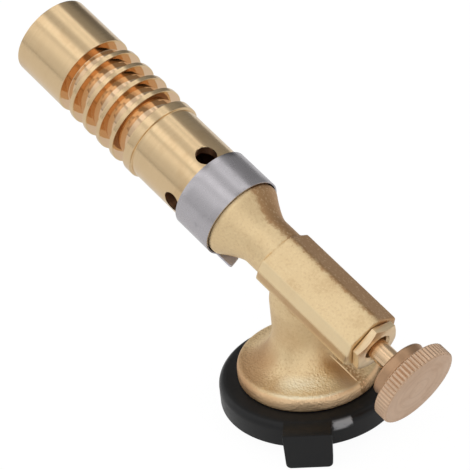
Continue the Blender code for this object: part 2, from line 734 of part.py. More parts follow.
def spindle(parent):
    """Needle-valve spindle: tail for the knob, stem, thread, ring groove and needle."""
    groove_low = RING_STATION - RING_GROOVE_WIDTH / 2
    groove_high = RING_STATION + RING_GROOVE_WIDTH / 2
    groove_radius = SPINDLE_BORE_RADIUS - CLEARANCE - 2 * RING_SECTION_RADIUS
    land_radius = SPINDLE_BORE_RADIUS - CLEARANCE
    cone_start = VALVE_CHAMBER_END - CLEARANCE
    tail_end = SPINDLE_SHOULDER - SPINDLE_TAIL_LENGTH
    outline = [
        (0, tail_end), (SPINDLE_TAIL_RADIUS, tail_end),
        (SPINDLE_TAIL_RADIUS, SPINDLE_SHOULDER), (SPINDLE_RADIUS, SPINDLE_SHOULDER),
        (SPINDLE_RADIUS, SPINDLE_THREAD_START), (SPINDLE_THREAD_RADIUS, SPINDLE_THREAD_START + CLEARANCE),
        (SPINDLE_THREAD_RADIUS, SPINDLE_THREAD_END), (SPINDLE_RADIUS, SPINDLE_THREAD_END + CLEARANCE),
        (SPINDLE_RADIUS, groove_low - RING_LAND), (land_radius, groove_low - RING_LAND),
        (land_radius, groove_low), (groove_radius, groove_low), (groove_radius, groove_high),
        (land_radius, groove_high), (land_radius, groove_high + RING_LAND),
        (NEEDLE_RADIUS, groove_high + RING_LAND), (NEEDLE_RADIUS, cone_start),
        (NEEDLE_POINT_RADIUS, cone_start + NEEDLE_CONE_LENGTH), (0, cone_start + NEEDLE_CONE_LENGTH),
    ]
    return settle(turned("spindle", outline, BORE_STEPS, parent), satin_brass("spindle_brass"))


def ring_mesh(mean_radius, section_radius, height):
    """A round rubber ring about the Z axis."""
    outline = arc((mean_radius, height), section_radius, 0, tau, RING_SECTION_STEPS)[:-1]
    return turned_mesh(outline, RING_STEPS)


def spindle_o_ring(parent):
    """O-ring in the spindle's groove, which seals the bore and slides with the spindle."""
    mean = SPINDLE_BORE_RADIUS - CLEARANCE / 2 - RING_SECTION_RADIUS
    made = place(ring_mesh(mean, RING_SECTION_RADIUS, RING_STATION), "spindle_o_ring", parent)
    return settle(made, black_rubber("spindle_ring_rubber"))


def gland_packing(parent):
    """Packing ring on the gland bore's floor."""
    end = PACKING_START - PACKING_LENGTH
    outline = ring_outline(GLAND_OUTER_RADIUS, GLAND_INNER_RADIUS, end, PACKING_START)
    made = turned("gland_packing", outline, BORE_STEPS, parent)
    return settle(made, white_packing("gland_packing_white"))


def gland_washer(parent):
    """Brass washer between the packing and the nut's nose."""
    end = WASHER_START - WASHER_THICKNESS
    outline = ring_outline(GLAND_OUTER_RADIUS, GLAND_INNER_RADIUS, end, WASHER_START)
    made = turned("gland_washer", outline, BORE_STEPS, parent)
    return settle(made, satin_brass("gland_washer_brass"))


def packing_nut(parent):
    """Hexagon gland nut whose nose reaches into the body."""
    first = pi - NUT_TURN
    flats = ring_outline(hexagon_radius(NUT_FLATS), NUT_BORE_RADIUS, NUT_FACE, NUT_SEAT)
    hexagon = turned("packing_nut", flats, HEX_SIDES, parent, first)
    nose = [(GLAND_OUTER_RADIUS, NUT_FACE + NUT_LENGTH / 2), (GLAND_OUTER_RADIUS, NOSE_START)]
    nose += [(NUT_BORE_RADIUS, NOSE_START), (NUT_BORE_RADIUS, NUT_FACE + NUT_LENGTH / 2)]
    combine(hexagon, turned("nut_nose", nose, BORE_STEPS, parent), "UNION")
    flat = NUT_FLATS / 2
    wide = flat + OVERRUN
    chamfer = [(flat, NUT_FACE), (wide, NUT_FACE + OVERRUN * NUT_CHAMFER_SHARE)]
    chamfer += [(wide, NUT_FACE - OVERRUN), (flat, NUT_FACE - OVERRUN)]
    combine(hexagon, turned("nut_chamfer", chamfer, BORE_STEPS, parent), "DIFFERENCE")
    bore = [(0, NUT_FACE - OVERRUN), (NUT_BORE_RADIUS + NUT_COUNTERSINK + OVERRUN, NUT_FACE - OVERRUN)]
    bore += [(NUT_BORE_RADIUS, NUT_FACE + NUT_COUNTERSINK), (NUT_BORE_RADIUS, NOSE_START + OVERRUN)]
    bore += [(0, NOSE_START + OVERRUN)]
    combine(hexagon, turned("nut_bore", bore, BORE_STEPS, parent), "DIFFERENCE")
    return settle(hexagon, satin_brass("packing_nut_brass"))


def knob_hub_outline():
    """The knob's smooth hub, from its back to inside the rim."""
    cone_end = KNOB_BACK - KNOB_HUB_CONE
    edge_end = cone_end - KNOB_HUB_EDGE
    halfway = ((KNOB_HUB_RADIUS + KNOB_WAIST_RADIUS) / 2, (edge_end + KNOB_WAIST_STATION) / 2)
    return [
        (0, KNOB_BACK), (KNOB_BOSS_RADIUS, KNOB_BACK), (KNOB_HUB_RADIUS - KNOB_HUB_EDGE, cone_end),
        (KNOB_HUB_RADIUS, edge_end), halfway, (KNOB_WAIST_RADIUS, KNOB_WAIST_STATION),
        (KNOB_HUB_RADIUS, KNOB_RIM_BACK + KNOB_RIM_EDGE),
        (KNOB_RIM_RADIUS - KNOB_RIM_EDGE, KNOB_RIM_BACK - KNOB_RIDGE_DEPTH),
        (KNOB_RIM_RADIUS - KNOB_RIM_EDGE, KNOB_FACE + KNOB_SKIN), (0, KNOB_FACE + KNOB_SKIN),
    ]


def knob_rim_mesh():
    """The knob's rim with its straight ridges, and the flat face."""
    mesh = bmesh.new()
    steps = KNOB_RIDGE_COUNT * 2
    valley = KNOB_RIM_RADIUS - KNOB_RIDGE_DEPTH
    back = KNOB_RIM_BACK - KNOB_RIM_EDGE
    levels = [(valley - KNOB_RIM_EDGE, 0, KNOB_RIM_BACK), (valley, 1, back),
              (valley, 1, KNOB_FACE + KNOB_FACE_CHAMFER), (valley - KNOB_FACE_CHAMFER, 0, KNOB_FACE)]
    rings = []
    for radius, ridged, station in levels:
        points = []
        for i in range(steps):
            reach = radius + ridged * KNOB_RIDGE_DEPTH * (i % 2)
            turn = tau * i / steps
            points.append(mesh.verts.new((reach * cos(turn), reach * sin(turn), station)))
        rings.append(points)
    close_rings(mesh, rings, True)
    return mesh


def valve_knob(parent):
    """Brass knob with a smooth hub and a ridged rim, bored for the spindle's tail."""
    knob = place(knob_rim_mesh(), "valve_knob", parent)
    combine(knob, turned("knob_hub", knob_hub_outline(), KNOB_HUB_STEPS, parent), "UNION")
    seat = SPINDLE_SHOULDER - CLEARANCE
    tail_end = seat - SPINDLE_TAIL_LENGTH
    bore = [(0, KNOB_BACK + OVERRUN), (SPINDLE_RADIUS + CLEARANCE, KNOB_BACK + OVERRUN)]
    bore += [(SPINDLE_RADIUS + CLEARANCE, seat), (SPINDLE_TAIL_RADIUS + CLEARANCE, seat)]
    bore += [(SPINDLE_TAIL_RADIUS + CLEARANCE, tail_end), (0, tail_end)]
    combine(knob, turned("knob_bore", bore, BORE_STEPS, parent), "DIFFERENCE")
    return settle(knob, tanned_brass("knob_brass"))


def collar_outline():
    """The collar's rounded top, skirt, ledge and centre hole."""
    points = [(COLLAR_RADIUS, 0)]
    centre = (COLLAR_RADIUS - COLLAR_EDGE, COLLAR_HEIGHT - COLLAR_EDGE)
    points += arc(centre, COLLAR_EDGE, 0, pi / 2, CORNER_POINTS)
    points += [(COLLAR_HOLE_RADIUS, COLLAR_HEIGHT), (COLLAR_HOLE_RADIUS, COLLAR_CEILING)]
    points += [(COLLAR_LEDGE_RADIUS, COLLAR_CEILING), (COLLAR_LEDGE_RADIUS, LEDGE_BOTTOM)]
    points += [(COLLAR_INNER_RADIUS, LEDGE_BOTTOM), (COLLAR_INNER_RADIUS, 0)]
    return points


def tab_mesh():
    """The collar's tab: a thick lip that hangs past the lower rim, narrower below, round-cornered."""
    half = TAB_WIDTH / 2
    side = half - TAB_TAPER - TAB_CORNER
    low = TAB_CORNER - TAB_DROP
    outline = [(half, TAB_TOP), (-half, TAB_TOP)]
    outline += arc((-side, low), TAB_CORNER, pi, 1.5 * pi, CORNER_POINTS)
    outline += arc((side, low), TAB_CORNER, 1.5 * pi, tau, CORNER_POINTS)
    mesh = prism_mesh(outline, -TAB_REACH, -TAB_REACH + TAB_THICKNESS)
    mesh.transform(Matrix.Rotation(TAB_TURN - pi / 2, 4, "Z") @ Matrix.Rotation(pi / 2, 4, "X"))
    return mesh


def tab_arm_mesh():
    """The arm that carries the tab: a block from the collar's top to the tab's inner side."""
    inner = COLLAR_RADIUS - COLLAR_EDGE - TAB_ARM_OVERLAP
    outer = TAB_REACH - TAB_THICKNESS / 2
    half = (TAB_WIDTH - TAB_TAPER) / 2
    corners = [(inner, -half), (outer, -half), (outer, half), (inner, half)]
    mesh = prism_mesh(corners, LEDGE_BOTTOM + CLEARANCE, TAB_TOP)
    mesh.transform(Matrix.Rotation(TAB_TURN, 4, "Z"))
    return mesh


def screw_turns():
    """Turns of the plate's screws about the collar's axis."""
    return [TAB_TURN + pi / CLAW_COUNT + tau * i / CLAW_COUNT for i in range(CLAW_COUNT)]


def screw_place(turn):
    """The spot of a screw about the collar's axis."""
    return Matrix.Rotation(turn, 4, "Z") @ Matrix.Translation((SCREW_CIRCLE, 0, 0))


def screw_holes_mesh(bottom, top):
    """The holes that the plate's screws pass through, from one height to another."""
    holes = []
    for turn in screw_turns():
        hole = turned_mesh(rod_outline(SCREW_HOLE_RADIUS, bottom, top), SCREW_STEPS)
        hole.transform(screw_place(turn))
        holes.append(hole)
    return gathered(holes)


def collar():
    """Black plastic collar with its tab and blind holes for the screws."""
    made = turned("collar", collar_outline(), COLLAR_STEPS)
    combine(made, place(tab_mesh(), "collar_tab"), "UNION")
    combine(made, place(tab_arm_mesh(), "collar_tab_arm"), "UNION")
    top = PLATE_BOTTOM + SCREW_LENGTH
    combine(made, place(screw_holes_mesh(LEDGE_BOTTOM - OVERRUN, top), "screw_holes"), "DIFFERENCE")
    return settle(made, black_plastic("collar_plastic"))


def bayonet_plate():
    """Steel plate whose three claws hold the cartridge's flange."""
    ring = ring_outline(PLATE_RADIUS, PLATE_OPENING_RADIUS, PLATE_BOTTOM, PLATE_TOP)
    plate = turned("bayonet_plate", ring, COLLAR_STEPS)
    inner = PLATE_OPENING_RADIUS - CLAW_REACH
    outer = (PLATE_RADIUS + PLATE_OPENING_RADIUS) / 2
    half = CLAW_WIDTH / 2
    outline = [(inner, -half), (outer, -half), (outer, half), (inner, half)]
    for i in range(CLAW_COUNT):
        claw = prism_mesh(outline, PLATE_BOTTOM, PLATE_TOP)
        claw.transform(Matrix.Rotation(TAB_TURN + tau * i / CLAW_COUNT, 4, "Z"))
        combine(plate, place(claw, f"claw_{i + 1}"), "UNION")
    holes = screw_holes_mesh(PLATE_BOTTOM - OVERRUN, PLATE_TOP + OVERRUN)
    combine(plate, place(holes, "plate_holes"), "DIFFERENCE")
    return settle(plate, satin_steel("plate_steel"))


def plate_screw(index, turn):
    """One slotted screw, from below, through the plate into the collar's ledge."""
    head_top = PLATE_BOTTOM - CLEARANCE
    head_bottom = head_top - SCREW_HEAD_HEIGHT
    tip = head_top + SCREW_LENGTH
    outline = [(0, head_bottom), (SCREW_HEAD_RADIUS, head_bottom), (SCREW_HEAD_RADIUS, head_top)]
    outline += [(SCREW_RADIUS, head_top), (SCREW_RADIUS, tip), (0, tip)]
    screw = turned_mesh(outline, SCREW_STEPS)
    screw.transform(screw_place(turn))
    made = place(screw, f"plate_screw_{index}")
    long = SCREW_HEAD_RADIUS + OVERRUN
    half = SCREW_SLOT_WIDTH / 2
    slot = prism_mesh([(-long, -half), (long, -half), (long, half), (-long, half)],
                      head_bottom - OVERRUN, head_bottom + SCREW_SLOT_DEPTH)
    slot.transform(screw_place(turn))
    combine(made, place(slot, f"screw_slot_{index}"), "DIFFERENCE")
    return settle(made, satin_steel(f"plate_screw_steel_{index}"))


def inlet_stem():
    """Brass inlet: flange under the collar, seal recess, socket, ring groove and bore."""
    recess_top = FLANGE_BOTTOM + SEAL_THICKNESS
    groove_low = FLANGE_TOP + STEM_RING_HEIGHT - RING_GROOVE_WIDTH / 2
    groove_high = groove_low + RING_GROOVE_WIDTH
    groove_radius = STEM_SOCKET_RADIUS - CLEARANCE - 2 * RING_SECTION_RADIUS
    socket_top = FLANGE_BOTTOM + SOCKET_DEPTH
    outline = [
        (FLANGE_RADIUS, FLANGE_BOTTOM), (FLANGE_RADIUS, FLANGE_TOP),
        (STEM_RADIUS + STEM_FOOT, FLANGE_TOP), (STEM_RADIUS, FLANGE_TOP + CLEARANCE / 2),
        (STEM_RADIUS, groove_low), (groove_radius, groove_low), (groove_radius, groove_high),
        (STEM_RADIUS, groove_high), (STEM_RADIUS, STEM_TOP), (STEM_BORE_RADIUS, STEM_TOP),
        (STEM_BORE_RADIUS, socket_top), (SOCKET_RADIUS, socket_top),
        (SOCKET_RADIUS, recess_top), (SEAL_RADIUS + CLEARANCE, recess_top),
        (SEAL_RADIUS + CLEARANCE, FLANGE_BOTTOM),
    ]
    return settle(turned("inlet_stem", outline, BORE_STEPS), satin_brass("inlet_brass"))


def cartridge_seal():
    """Flat rubber seal in the flange's recess, where the cartridge's nozzle enters."""
    low = FLANGE_BOTTOM - CLEARANCE
    outline = ring_outline(SEAL_RADIUS, SEAL_BORE_RADIUS, low, low + SEAL_THICKNESS)
    return settle(turned("cartridge_seal", outline, BORE_STEPS), black_rubber("cartridge_seal_rubber"))


def stem_o_ring():
    """O-ring between the inlet stem and the body."""
    mean = STEM_SOCKET_RADIUS - CLEARANCE / 2 - RING_SECTION_RADIUS
    made = place(ring_mesh(mean, RING_SECTION_RADIUS, FLANGE_TOP + STEM_RING_HEIGHT), "stem_o_ring")
    return settle(made, black_rubber("stem_ring_rubber"))


def inlet_filter():
    """Sintered plug in the inlet stem's bore."""
    top = STEM_TOP - CLEARANCE
    outline = rod_outline(STEM_BORE_RADIUS - CLEARANCE / 2, top - INLET_FILTER_LENGTH, top)
    return settle(turned("inlet_filter", outline, GAS_STEPS), sintered_bronze("inlet_filter_bronze"))


def main():
    """Builds every piece of the torch."""
    clear_scene()
    axis = bpy.data.objects.new("torch_axis", None)
    bpy.context.scene.collection.objects.link(axis)
    axis.matrix_world = torch_frame()
    on_torch_axis = (
        burner_tube, flame_holder, flame_gauze, air_sleeve, torch_body, jet, jet_filter,
        packing_nut, gland_packing, gland_washer, spindle, spindle_o_ring, valve_knob,
    )
    for build in on_torch_axis:
        build(axis)
    for build in (collar, bayonet_plate, inlet_stem, stem_o_ring, cartridge_seal, inlet_filter):
        build()
    for i, turn in enumerate(screw_turns()):
        plate_screw(i + 1, turn)


main()
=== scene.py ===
import json
import logging
from dataclasses import dataclass
from enum import Enum
from math import cos, pi, radians, sin, tau

import bmesh
import bpy
from mathutils import Matrix, Vector


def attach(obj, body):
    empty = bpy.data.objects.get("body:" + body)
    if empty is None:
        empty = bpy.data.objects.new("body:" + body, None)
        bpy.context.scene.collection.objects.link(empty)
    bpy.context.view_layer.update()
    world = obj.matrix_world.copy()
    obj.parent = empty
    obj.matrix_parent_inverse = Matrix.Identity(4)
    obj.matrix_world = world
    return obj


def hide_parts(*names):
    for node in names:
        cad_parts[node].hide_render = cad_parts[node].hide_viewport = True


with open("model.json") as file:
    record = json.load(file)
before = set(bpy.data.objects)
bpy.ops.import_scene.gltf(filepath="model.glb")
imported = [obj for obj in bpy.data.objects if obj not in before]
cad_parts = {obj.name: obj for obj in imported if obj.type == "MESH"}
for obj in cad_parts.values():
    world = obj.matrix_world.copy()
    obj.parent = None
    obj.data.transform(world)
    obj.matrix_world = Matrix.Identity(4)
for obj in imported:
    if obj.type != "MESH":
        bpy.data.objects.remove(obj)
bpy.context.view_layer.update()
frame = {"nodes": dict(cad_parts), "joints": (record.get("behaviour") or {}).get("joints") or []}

MM = 0.001
LOG = logging.getLogger("gas_torch")

Mesh = bmesh.types.BMesh
Thing = bpy.types.Object
Material = bpy.types.Material
Socket = bpy.types.NodeSocket
Outline = list[tuple[float, float]]
Points = tuple[tuple[float, float], ...]
Pair = tuple[float, float]
Triple = tuple[float, float, float]


class Body(Enum):
    """The moving bodies that new pieces ride on."""

    TORCH = "torch"
    SLEEVE = "air_sleeve"
    SPINDLE = "spindle"


class Slot(Enum):
    """Names of the record's finishes; keep is given one for each new piece but does not use it."""

    TURNED = "turned_brass"
    FORGED = "forged_brass"
    KNOB = "knob_brass"
    STEEL = "satin_steel"
    PLASTIC = "black_plastic"


@dataclass(frozen=True)
class TorchAxis:
    """The torch's leaning axis, read from the joint of its knob.

    Its local +Z runs to the burner, its local -X is the upper side and +Y is the frame's own +Y.
    """

    place: Matrix

    @classmethod
    def from_joints(cls, joints: list[dict]) -> "TorchAxis":
        """Read the axis.

        Args:
            joints: The frame's joints.

        Returns:
            The axis through the knob's hinge.
        """
        hinge = next(joint for joint in joints if joint["name"] == "knob_turn")
        forward = -Vector(hinge["axis"]).normalized()
        side = Vector((0, 1, 0))
        down = side.cross(forward).normalized()
        turn = Matrix((down, side, forward)).transposed().to_4x4()
        return cls(Matrix.Translation(Vector(hinge["pos_m"])) @ turn)

    @property
    def height(self) -> float:
        """Height at which the axis crosses the collar's axis."""
        return self.place.translation.z


# Meshes

FLATTEST_CORNER = radians(165)
SIDE_SHARE = 0.3
HOLDING_SHARE = 1.3


def mm(*points: tuple[float, float]) -> Points:
    """Points of an outline that are given in millimetres."""
    return tuple((x * MM, y * MM) for x, y in points)


def span(start: float, end: float) -> Pair:
    """Where a change starts and ends, given in millimetres."""
    return (start * MM, end * MM)


def drawn_out(way: Points, low: float, high: float) -> Outline:
    """A stepped way whose first and last radius run on to two ends."""
    return [(way[0][0], low), *way, (way[-1][0], high)]


def box(outer: float, inner: float, low: float, high: float) -> Outline:
    """Corners of a rectangle, up its outer side first."""
    return [(outer, low), (outer, high), (inner, high), (inner, low)]


def quarter(steps: int) -> list[float]:
    """Turns from 0 to a right angle."""
    return [pi / 2 * i / steps for i in range(steps + 1)]


def softened(outline: Outline | Points, radius: float, steps: int = 3, closed: bool = True) -> Outline:
    """Round the corners of an outline, with a close point on each side that keeps long faces flat.

    Args:
        outline: Points (radius, height).
        radius: Rounding of each corner, less where a side is short.
        steps: Faces across a rounded corner.
        closed: Whether the last point joins the first.

    Returns:
        The rounded outline.
    """
    points = [Vector(point) for point in outline]
    rounded: Outline = []
    for i, corner in enumerate(points):
        before = points[i - 1] - corner
        after = points[(i + 1) % len(points)] - corner
        at_end = not closed and i in (0, len(points) - 1)
        if at_end or before.angle(after) > FLATTEST_CORNER:
            rounded.append(tuple(corner))
            continue
        reach = min(radius, SIDE_SHARE * before.length, SIDE_SHARE * after.length)
        back = before.normalized() * reach
        on = after.normalized() * reach
        rounded.append(tuple(corner + back * HOLDING_SHARE))
        for k in range(steps + 1):
            part = k / steps
            bend = (corner + back) * (1 - part) ** 2 + corner * 2 * part * (1 - part)
            rounded.append(tuple(bend + (corner + on) * part**2))
        rounded.append(tuple(corner + on * HOLDING_SHARE))
    return rounded


def lofted(sections: list[list[Triple]], closed: bool = False) -> Mesh:
    """Join sections of the same number of corners with faces.

    Args:
        sections: The corners of each section.
        closed: Whether the last section joins the first; if not, both are capped.

    Returns:
        The closed mesh.
    """
    mesh = bmesh.new()
    rings = [[mesh.verts.new(corner) for corner in section] for section in sections]
    pairs = list(zip(rings, rings[1:]))
    if closed:
        pairs.append((rings[-1], rings[0]))
    for low, high in pairs:
        for i in range(len(low)):
            j = (i + 1) % len(low)
            mesh.faces.new((low[i], low[j], high[j], high[i]))
    if not closed:
        mesh.faces.new(rings[0])
        mesh.faces.new(rings[-1])
    bmesh.ops.recalc_face_normals(mesh, faces=mesh.faces)
    return mesh


def turned(outline: Outline, steps: int = 160, closed: bool = True) -> Mesh:
    """Turn an outline round the Z axis.

    Args:
        outline: Points (radius, height); an open outline ends in flat caps.
        steps: Faces round the axis.
        closed: Whether the outline is a closed ring section.

    Returns:
        The closed mesh.
    """
    turns = [tau * i / steps for i in range(steps)]
    sections = [[(radius * cos(t), radius * sin(t), height) for t in turns] for radius, height in outline]
    return lofted(sections, closed)


def prism(outline: Outline | Points, low: float, high: float) -> Mesh:
    """Extrude an outline along Z.

    Args:
        outline: Points (x, y).
        low: Lower height.
        high: Upper height.

    Returns:
        The closed mesh.
    """
    return lofted([[(x, y, height) for x, y in outline] for height in (low, high)])


def edge_rounded(mesh: Mesh, width: float, steps: int = 3, least: float = 35) -> Mesh:
    """Bevel the sharp edges of a mesh.

    Args:
        mesh: The mesh to change.
        width: Width of the bevel.
        steps: Faces across it.
        least: Least angle in degrees of the edges that are bevelled.

    Returns:
        The same mesh.
    """
    pairs = [edge for edge in mesh.edges if len(edge.link_faces) == 2]
    edges = [edge for edge in pairs if edge.calc_face_angle() > radians(least)]
    bmesh.ops.bevel(mesh, geom=edges, offset=width, segments=steps, profile=0.5, affect="EDGES",
                    clamp_overlap=True)
    return mesh


def merged(*meshes: Mesh) -> Mesh:
    """Put several meshes into one.

    Args:
        meshes: The meshes, which are used up.

    Returns:
        One mesh.
    """
    whole = bmesh.new()
    for mesh in meshes:
        data = bpy.data.meshes.new("part")
        mesh.to_mesh(data)
        mesh.free()
        whole.from_mesh(data)
        bpy.data.meshes.remove(data)
    return whole


def shaped(name: str, mesh: Mesh, place: Matrix | None = None) -> Thing:
    """Make an object of a mesh, with its place in its mesh.

    Args:
        name: The object's name.
        mesh: The mesh, which is used up.
        place: Where it goes in the frame.

    Returns:
        The object, at the origin.
    """
    data = bpy.data.meshes.new(name)
    mesh.to_mesh(data)
    mesh.free()
    if place is not None:
        data.transform(place)
    thing = bpy.data.objects.new(name, data)
    bpy.context.scene.collection.objects.link(thing)
    return thing


def settled(thing: Thing) -> Thing:
    """Turn an object's modifiers into its mesh.

    Args:
        thing: The object.

    Returns:
        The same object, with no modifiers.
    """
    bpy.context.view_layer.update()
    graph = bpy.context.evaluated_depsgraph_get()
    result = thing.evaluated_get(graph)
    data = bpy.data.meshes.new_from_object(result, preserve_all_data_layers=True, depsgraph=graph)
    thing.modifiers.clear()
    thing.data = data
    return thing


def plain(thing: Thing, sharp: float = 35) -> Thing:
    """Turn an object's modifiers into its mesh and shade it smooth.

    Args:
        thing: The object.
        sharp: Least angle in degrees that stays a sharp edge.

    Returns:
        The same object, with no modifiers.
    """
    data = settled(thing).data
    data.name = thing.name
    data.shade_smooth()
    data.set_sharp_from_angle(angle=radians(sharp))
    return thing


def cut(thing: Thing, tool: Thing, operation: str = "DIFFERENCE") -> None:
    """Cut a tool out of an object, or join it, and remove the tool.

    Args:
        thing: The object that is changed.
        tool: The object that is used up.
        operation: DIFFERENCE or UNION.
    """
    step = thing.modifiers.new("cut", "BOOLEAN")
    step.operation = operation
    step.solver = "EXACT"
    step.object = tool
    settled(thing)
    bpy.data.objects.remove(tool)


# Nodes


class NodeMaker:
    """Builds a node tree with one method for every node.

    A value in an input list is a number, a vector, a colour or the socket that feeds it.
    """

    def __init__(self, tree: bpy.types.NodeTree) -> None:
        """Keep the tree."""
        self.tree = tree

    def add(self, kind: str, inputs: dict | None = None, **settings: str) -> bpy.types.Node:
        """Add a node.

        Args:
            kind: Its type.
            inputs: Values or links by the socket's name or number.
            settings: Its properties, which are set first.

        Returns:
            The node.
        """
        node = self.tree.nodes.new(kind)
        for name, value in settings.items():
            setattr(node, name, value)
        for key, value in (inputs or {}).items():
            self.feed(node.inputs[key], value)
        return node

    def out(self, kind: str, inputs: dict | None = None, **settings: str) -> Socket:
        """Add a node and give its first output."""
        return self.add(kind, inputs, **settings).outputs[0]

    def feed(self, socket: Socket, value: object) -> None:
        """Link a socket, or set its value.

        Args:
            socket: The input.
            value: A socket, a Term or a plain value.
        """
        source = getattr(value, "socket", value)
        if isinstance(source, Socket):
            self.tree.links.new(source, socket)
        else:
            socket.default_value = source

    def parts(self, vector: object) -> tuple["Term", "Term", "Term"]:
        """The three parts of a vector as terms."""
        split = self.add("ShaderNodeSeparateXYZ", {0: vector})
        return tuple(Term(self, socket) for socket in split.outputs)

    def vector(self, x: object = 0.0, y: object = 0.0, z: object = 0.0) -> Socket:
        """A vector of three values or terms."""
        return self.out("ShaderNodeCombineXYZ", {0: x, 1: y, 2: z})


class Term:
    """A number socket that takes part in sums as a Python number does."""

    def __init__(self, maker: NodeMaker, socket: Socket) -> None:
        """Keep the socket and what adds nodes."""
        self.maker = maker
        self.socket = socket

    def sum(self, operation: str, *values: object) -> "Term":
        """Add a Math node.

        Args:
            operation: The node's operation.
            values: Its inputs.

        Returns:
            The result.
        """
        result = self.maker.out("ShaderNodeMath", dict(enumerate(values)), operation=operation)
        return Term(self.maker, result)

    def __add__(self, other: object) -> "Term":
        """Sum."""
        return self.sum("ADD", self, other)

    def __radd__(self, other: object) -> "Term":
        """Sum with a number first."""
        return self.sum("ADD", other, self)

    def __sub__(self, other: object) -> "Term":
        """Difference."""
        return self.sum("SUBTRACT", self, other)

    def __rsub__(self, other: object) -> "Term":
        """Difference with a number first."""
        return self.sum("SUBTRACT", other, self)

    def __mul__(self, other: object) -> "Term":
        """Product."""
        return self.sum("MULTIPLY", self, other)

    def __rmul__(self, other: object) -> "Term":
        """Product with a number first."""
        return self.sum("MULTIPLY", other, self)

    def __truediv__(self, other: object) -> "Term":
        """Quotient."""
        return self.sum("DIVIDE", self, other)

    def __pow__(self, other: object) -> "Term":
        """Power."""
        return self.sum("POWER", self, other)

    def wave(self) -> "Term":
        """Cosine."""
        return self.sum("COSINE", self)

    def swing(self, size: float) -> "Term":
        """What a term between 0 and 1 adds when it swings about nothing."""
        return (self - 0.5) * size

    def step(self, low: float, high: float) -> "Term":
        """A smooth rise from 0 to 1.

        Args:
            low: Where it starts.
            high: Where it ends; below low, it falls.

        Returns:
            The rise.
        """
        start, end = (1.0, 0.0) if high < low else (0.0, 1.0)
        ends = {"Value": self, 1: min(low, high), 2: max(low, high), 3: start, 4: end}
        return Term(self.maker, self.maker.out("ShaderNodeMapRange", ends, interpolation_type="SMOOTHSTEP"))


def length(x: Term, y: Term) -> Term:
    """Length of two parts of a vector."""
    return (x * x + y * y) ** 0.5


def facing(x: Term, y: Term, way: Pair) -> Term:
    """How much a place lies to one side of the Z axis, from -1 to 1."""
    return (x * way[0] + y * way[1]) / length(x, y)


class GeometryTree(NodeMaker):
    """A Geometry Nodes tree with named inputs, which becomes a plain mesh."""

    def __init__(self, name: str, sizes: dict[str, float | int]) -> None:
        """Start the tree.

        Args:
            name: Its name.
            sizes: The named inputs and their values.
        """
        super().__init__(bpy.data.node_groups.new(name, "GeometryNodeTree"))
        self.sizes = sizes
        kinds = {"Geometry": "Geometry", "Finish": "Material"}
        kinds.update({label: "Int" if isinstance(value, int) else "Float" for label, value in sizes.items()})
        for label, kind in kinds.items():
            self.tree.interface.new_socket(label, in_out="INPUT", socket_type=f"NodeSocket{kind}")
        self.tree.interface.new_socket("Geometry", in_out="OUTPUT", socket_type="NodeSocketGeometry")
        self.given = self.add("NodeGroupInput").outputs

    def size(self, label: str) -> Term:
        """A named input as a term."""
        return Term(self, self.given[label])

    def copies(self, spots: Socket, piece: Socket, **more: Socket) -> Socket:
        """Copies of a piece on points."""
        return self.out("GeometryNodeInstanceOnPoints", {"Points": spots, "Instance": piece, **more})

    def row(self, label: str, piece: Socket, offset: object, **more: Socket) -> Socket:
        """Copies of a piece on a line.

        Args:
            label: The named input that counts them.
            piece: The geometry.
            offset: From one to the next.
            more: Other inputs of the copies.

        Returns:
            The copies.
        """
        count = self.size(label)
        spots = self.out("GeometryNodeMeshLine", {"Count": count, "Offset": offset}, mode="OFFSET")
        return self.copies(spots, piece, **more)

    def around(self, label: str, piece: Socket, first: float) -> Socket:
        """Copies of a piece evenly round the Z axis.

        Args:
            label: The named input that counts them.
            piece: The geometry.
            first: Turn of the first.

        Returns:
            The copies.
        """
        turn = Term(self, self.out("GeometryNodeInputIndex")) * (tau / self.sizes[label]) + first
        return self.row(label, piece, (0, 0, 0), Rotation=self.vector(z=turn))

    def moved(self, geometry: Socket, shift: object) -> Socket:
        """A geometry that is moved."""
        return self.out("GeometryNodeTransform", {"Geometry": geometry, "Translation": shift})

    def real(self, geometry: Socket) -> Socket:
        """Copies turned into one mesh."""
        return self.out("GeometryNodeRealizeInstances", {0: geometry})

    def run(self, result: Socket, thing: Thing, finish: Material, place: Matrix | None = None,
            sharp: float = 35) -> Thing:
        """End the tree in Realize Instances and Set Material, and keep its result as an object's mesh.

        Args:
            result: What the tree made.
            thing: The object, whose mesh is the tree's Geometry input.
            finish: The material that the tree sets.
            place: Where the result goes in the frame.
            sharp: Least angle in degrees that stays a sharp edge.

        Returns:
            The same object.
        """
        values = {"Geometry": self.real(result), "Material": self.given["Finish"]}
        self.add("NodeGroupOutput", {0: self.out("GeometryNodeSetMaterial", values)})
        step = thing.modifiers.new(self.tree.name, "NODES")
        step.node_group = self.tree
        for item in self.tree.interface.items_tree:
            if item.in_out == "INPUT" and item.name != "Geometry":
                step[item.identifier] = finish if item.name == "Finish" else self.sizes[item.name]
        plain(thing, sharp)
        if place is not None:
            thing.data.transform(place)
        return thing


# Finishes


def shade(colour: Triple) -> tuple[float, float, float, float]:
    """A colour with full alpha."""
    return (*colour, 1.0)


def toned(colour: Triple, factor: float, lift: float = 0.0) -> Triple:
    """A paler or darker tone of a colour."""
    return tuple(min(part * factor + lift, 1) for part in colour)


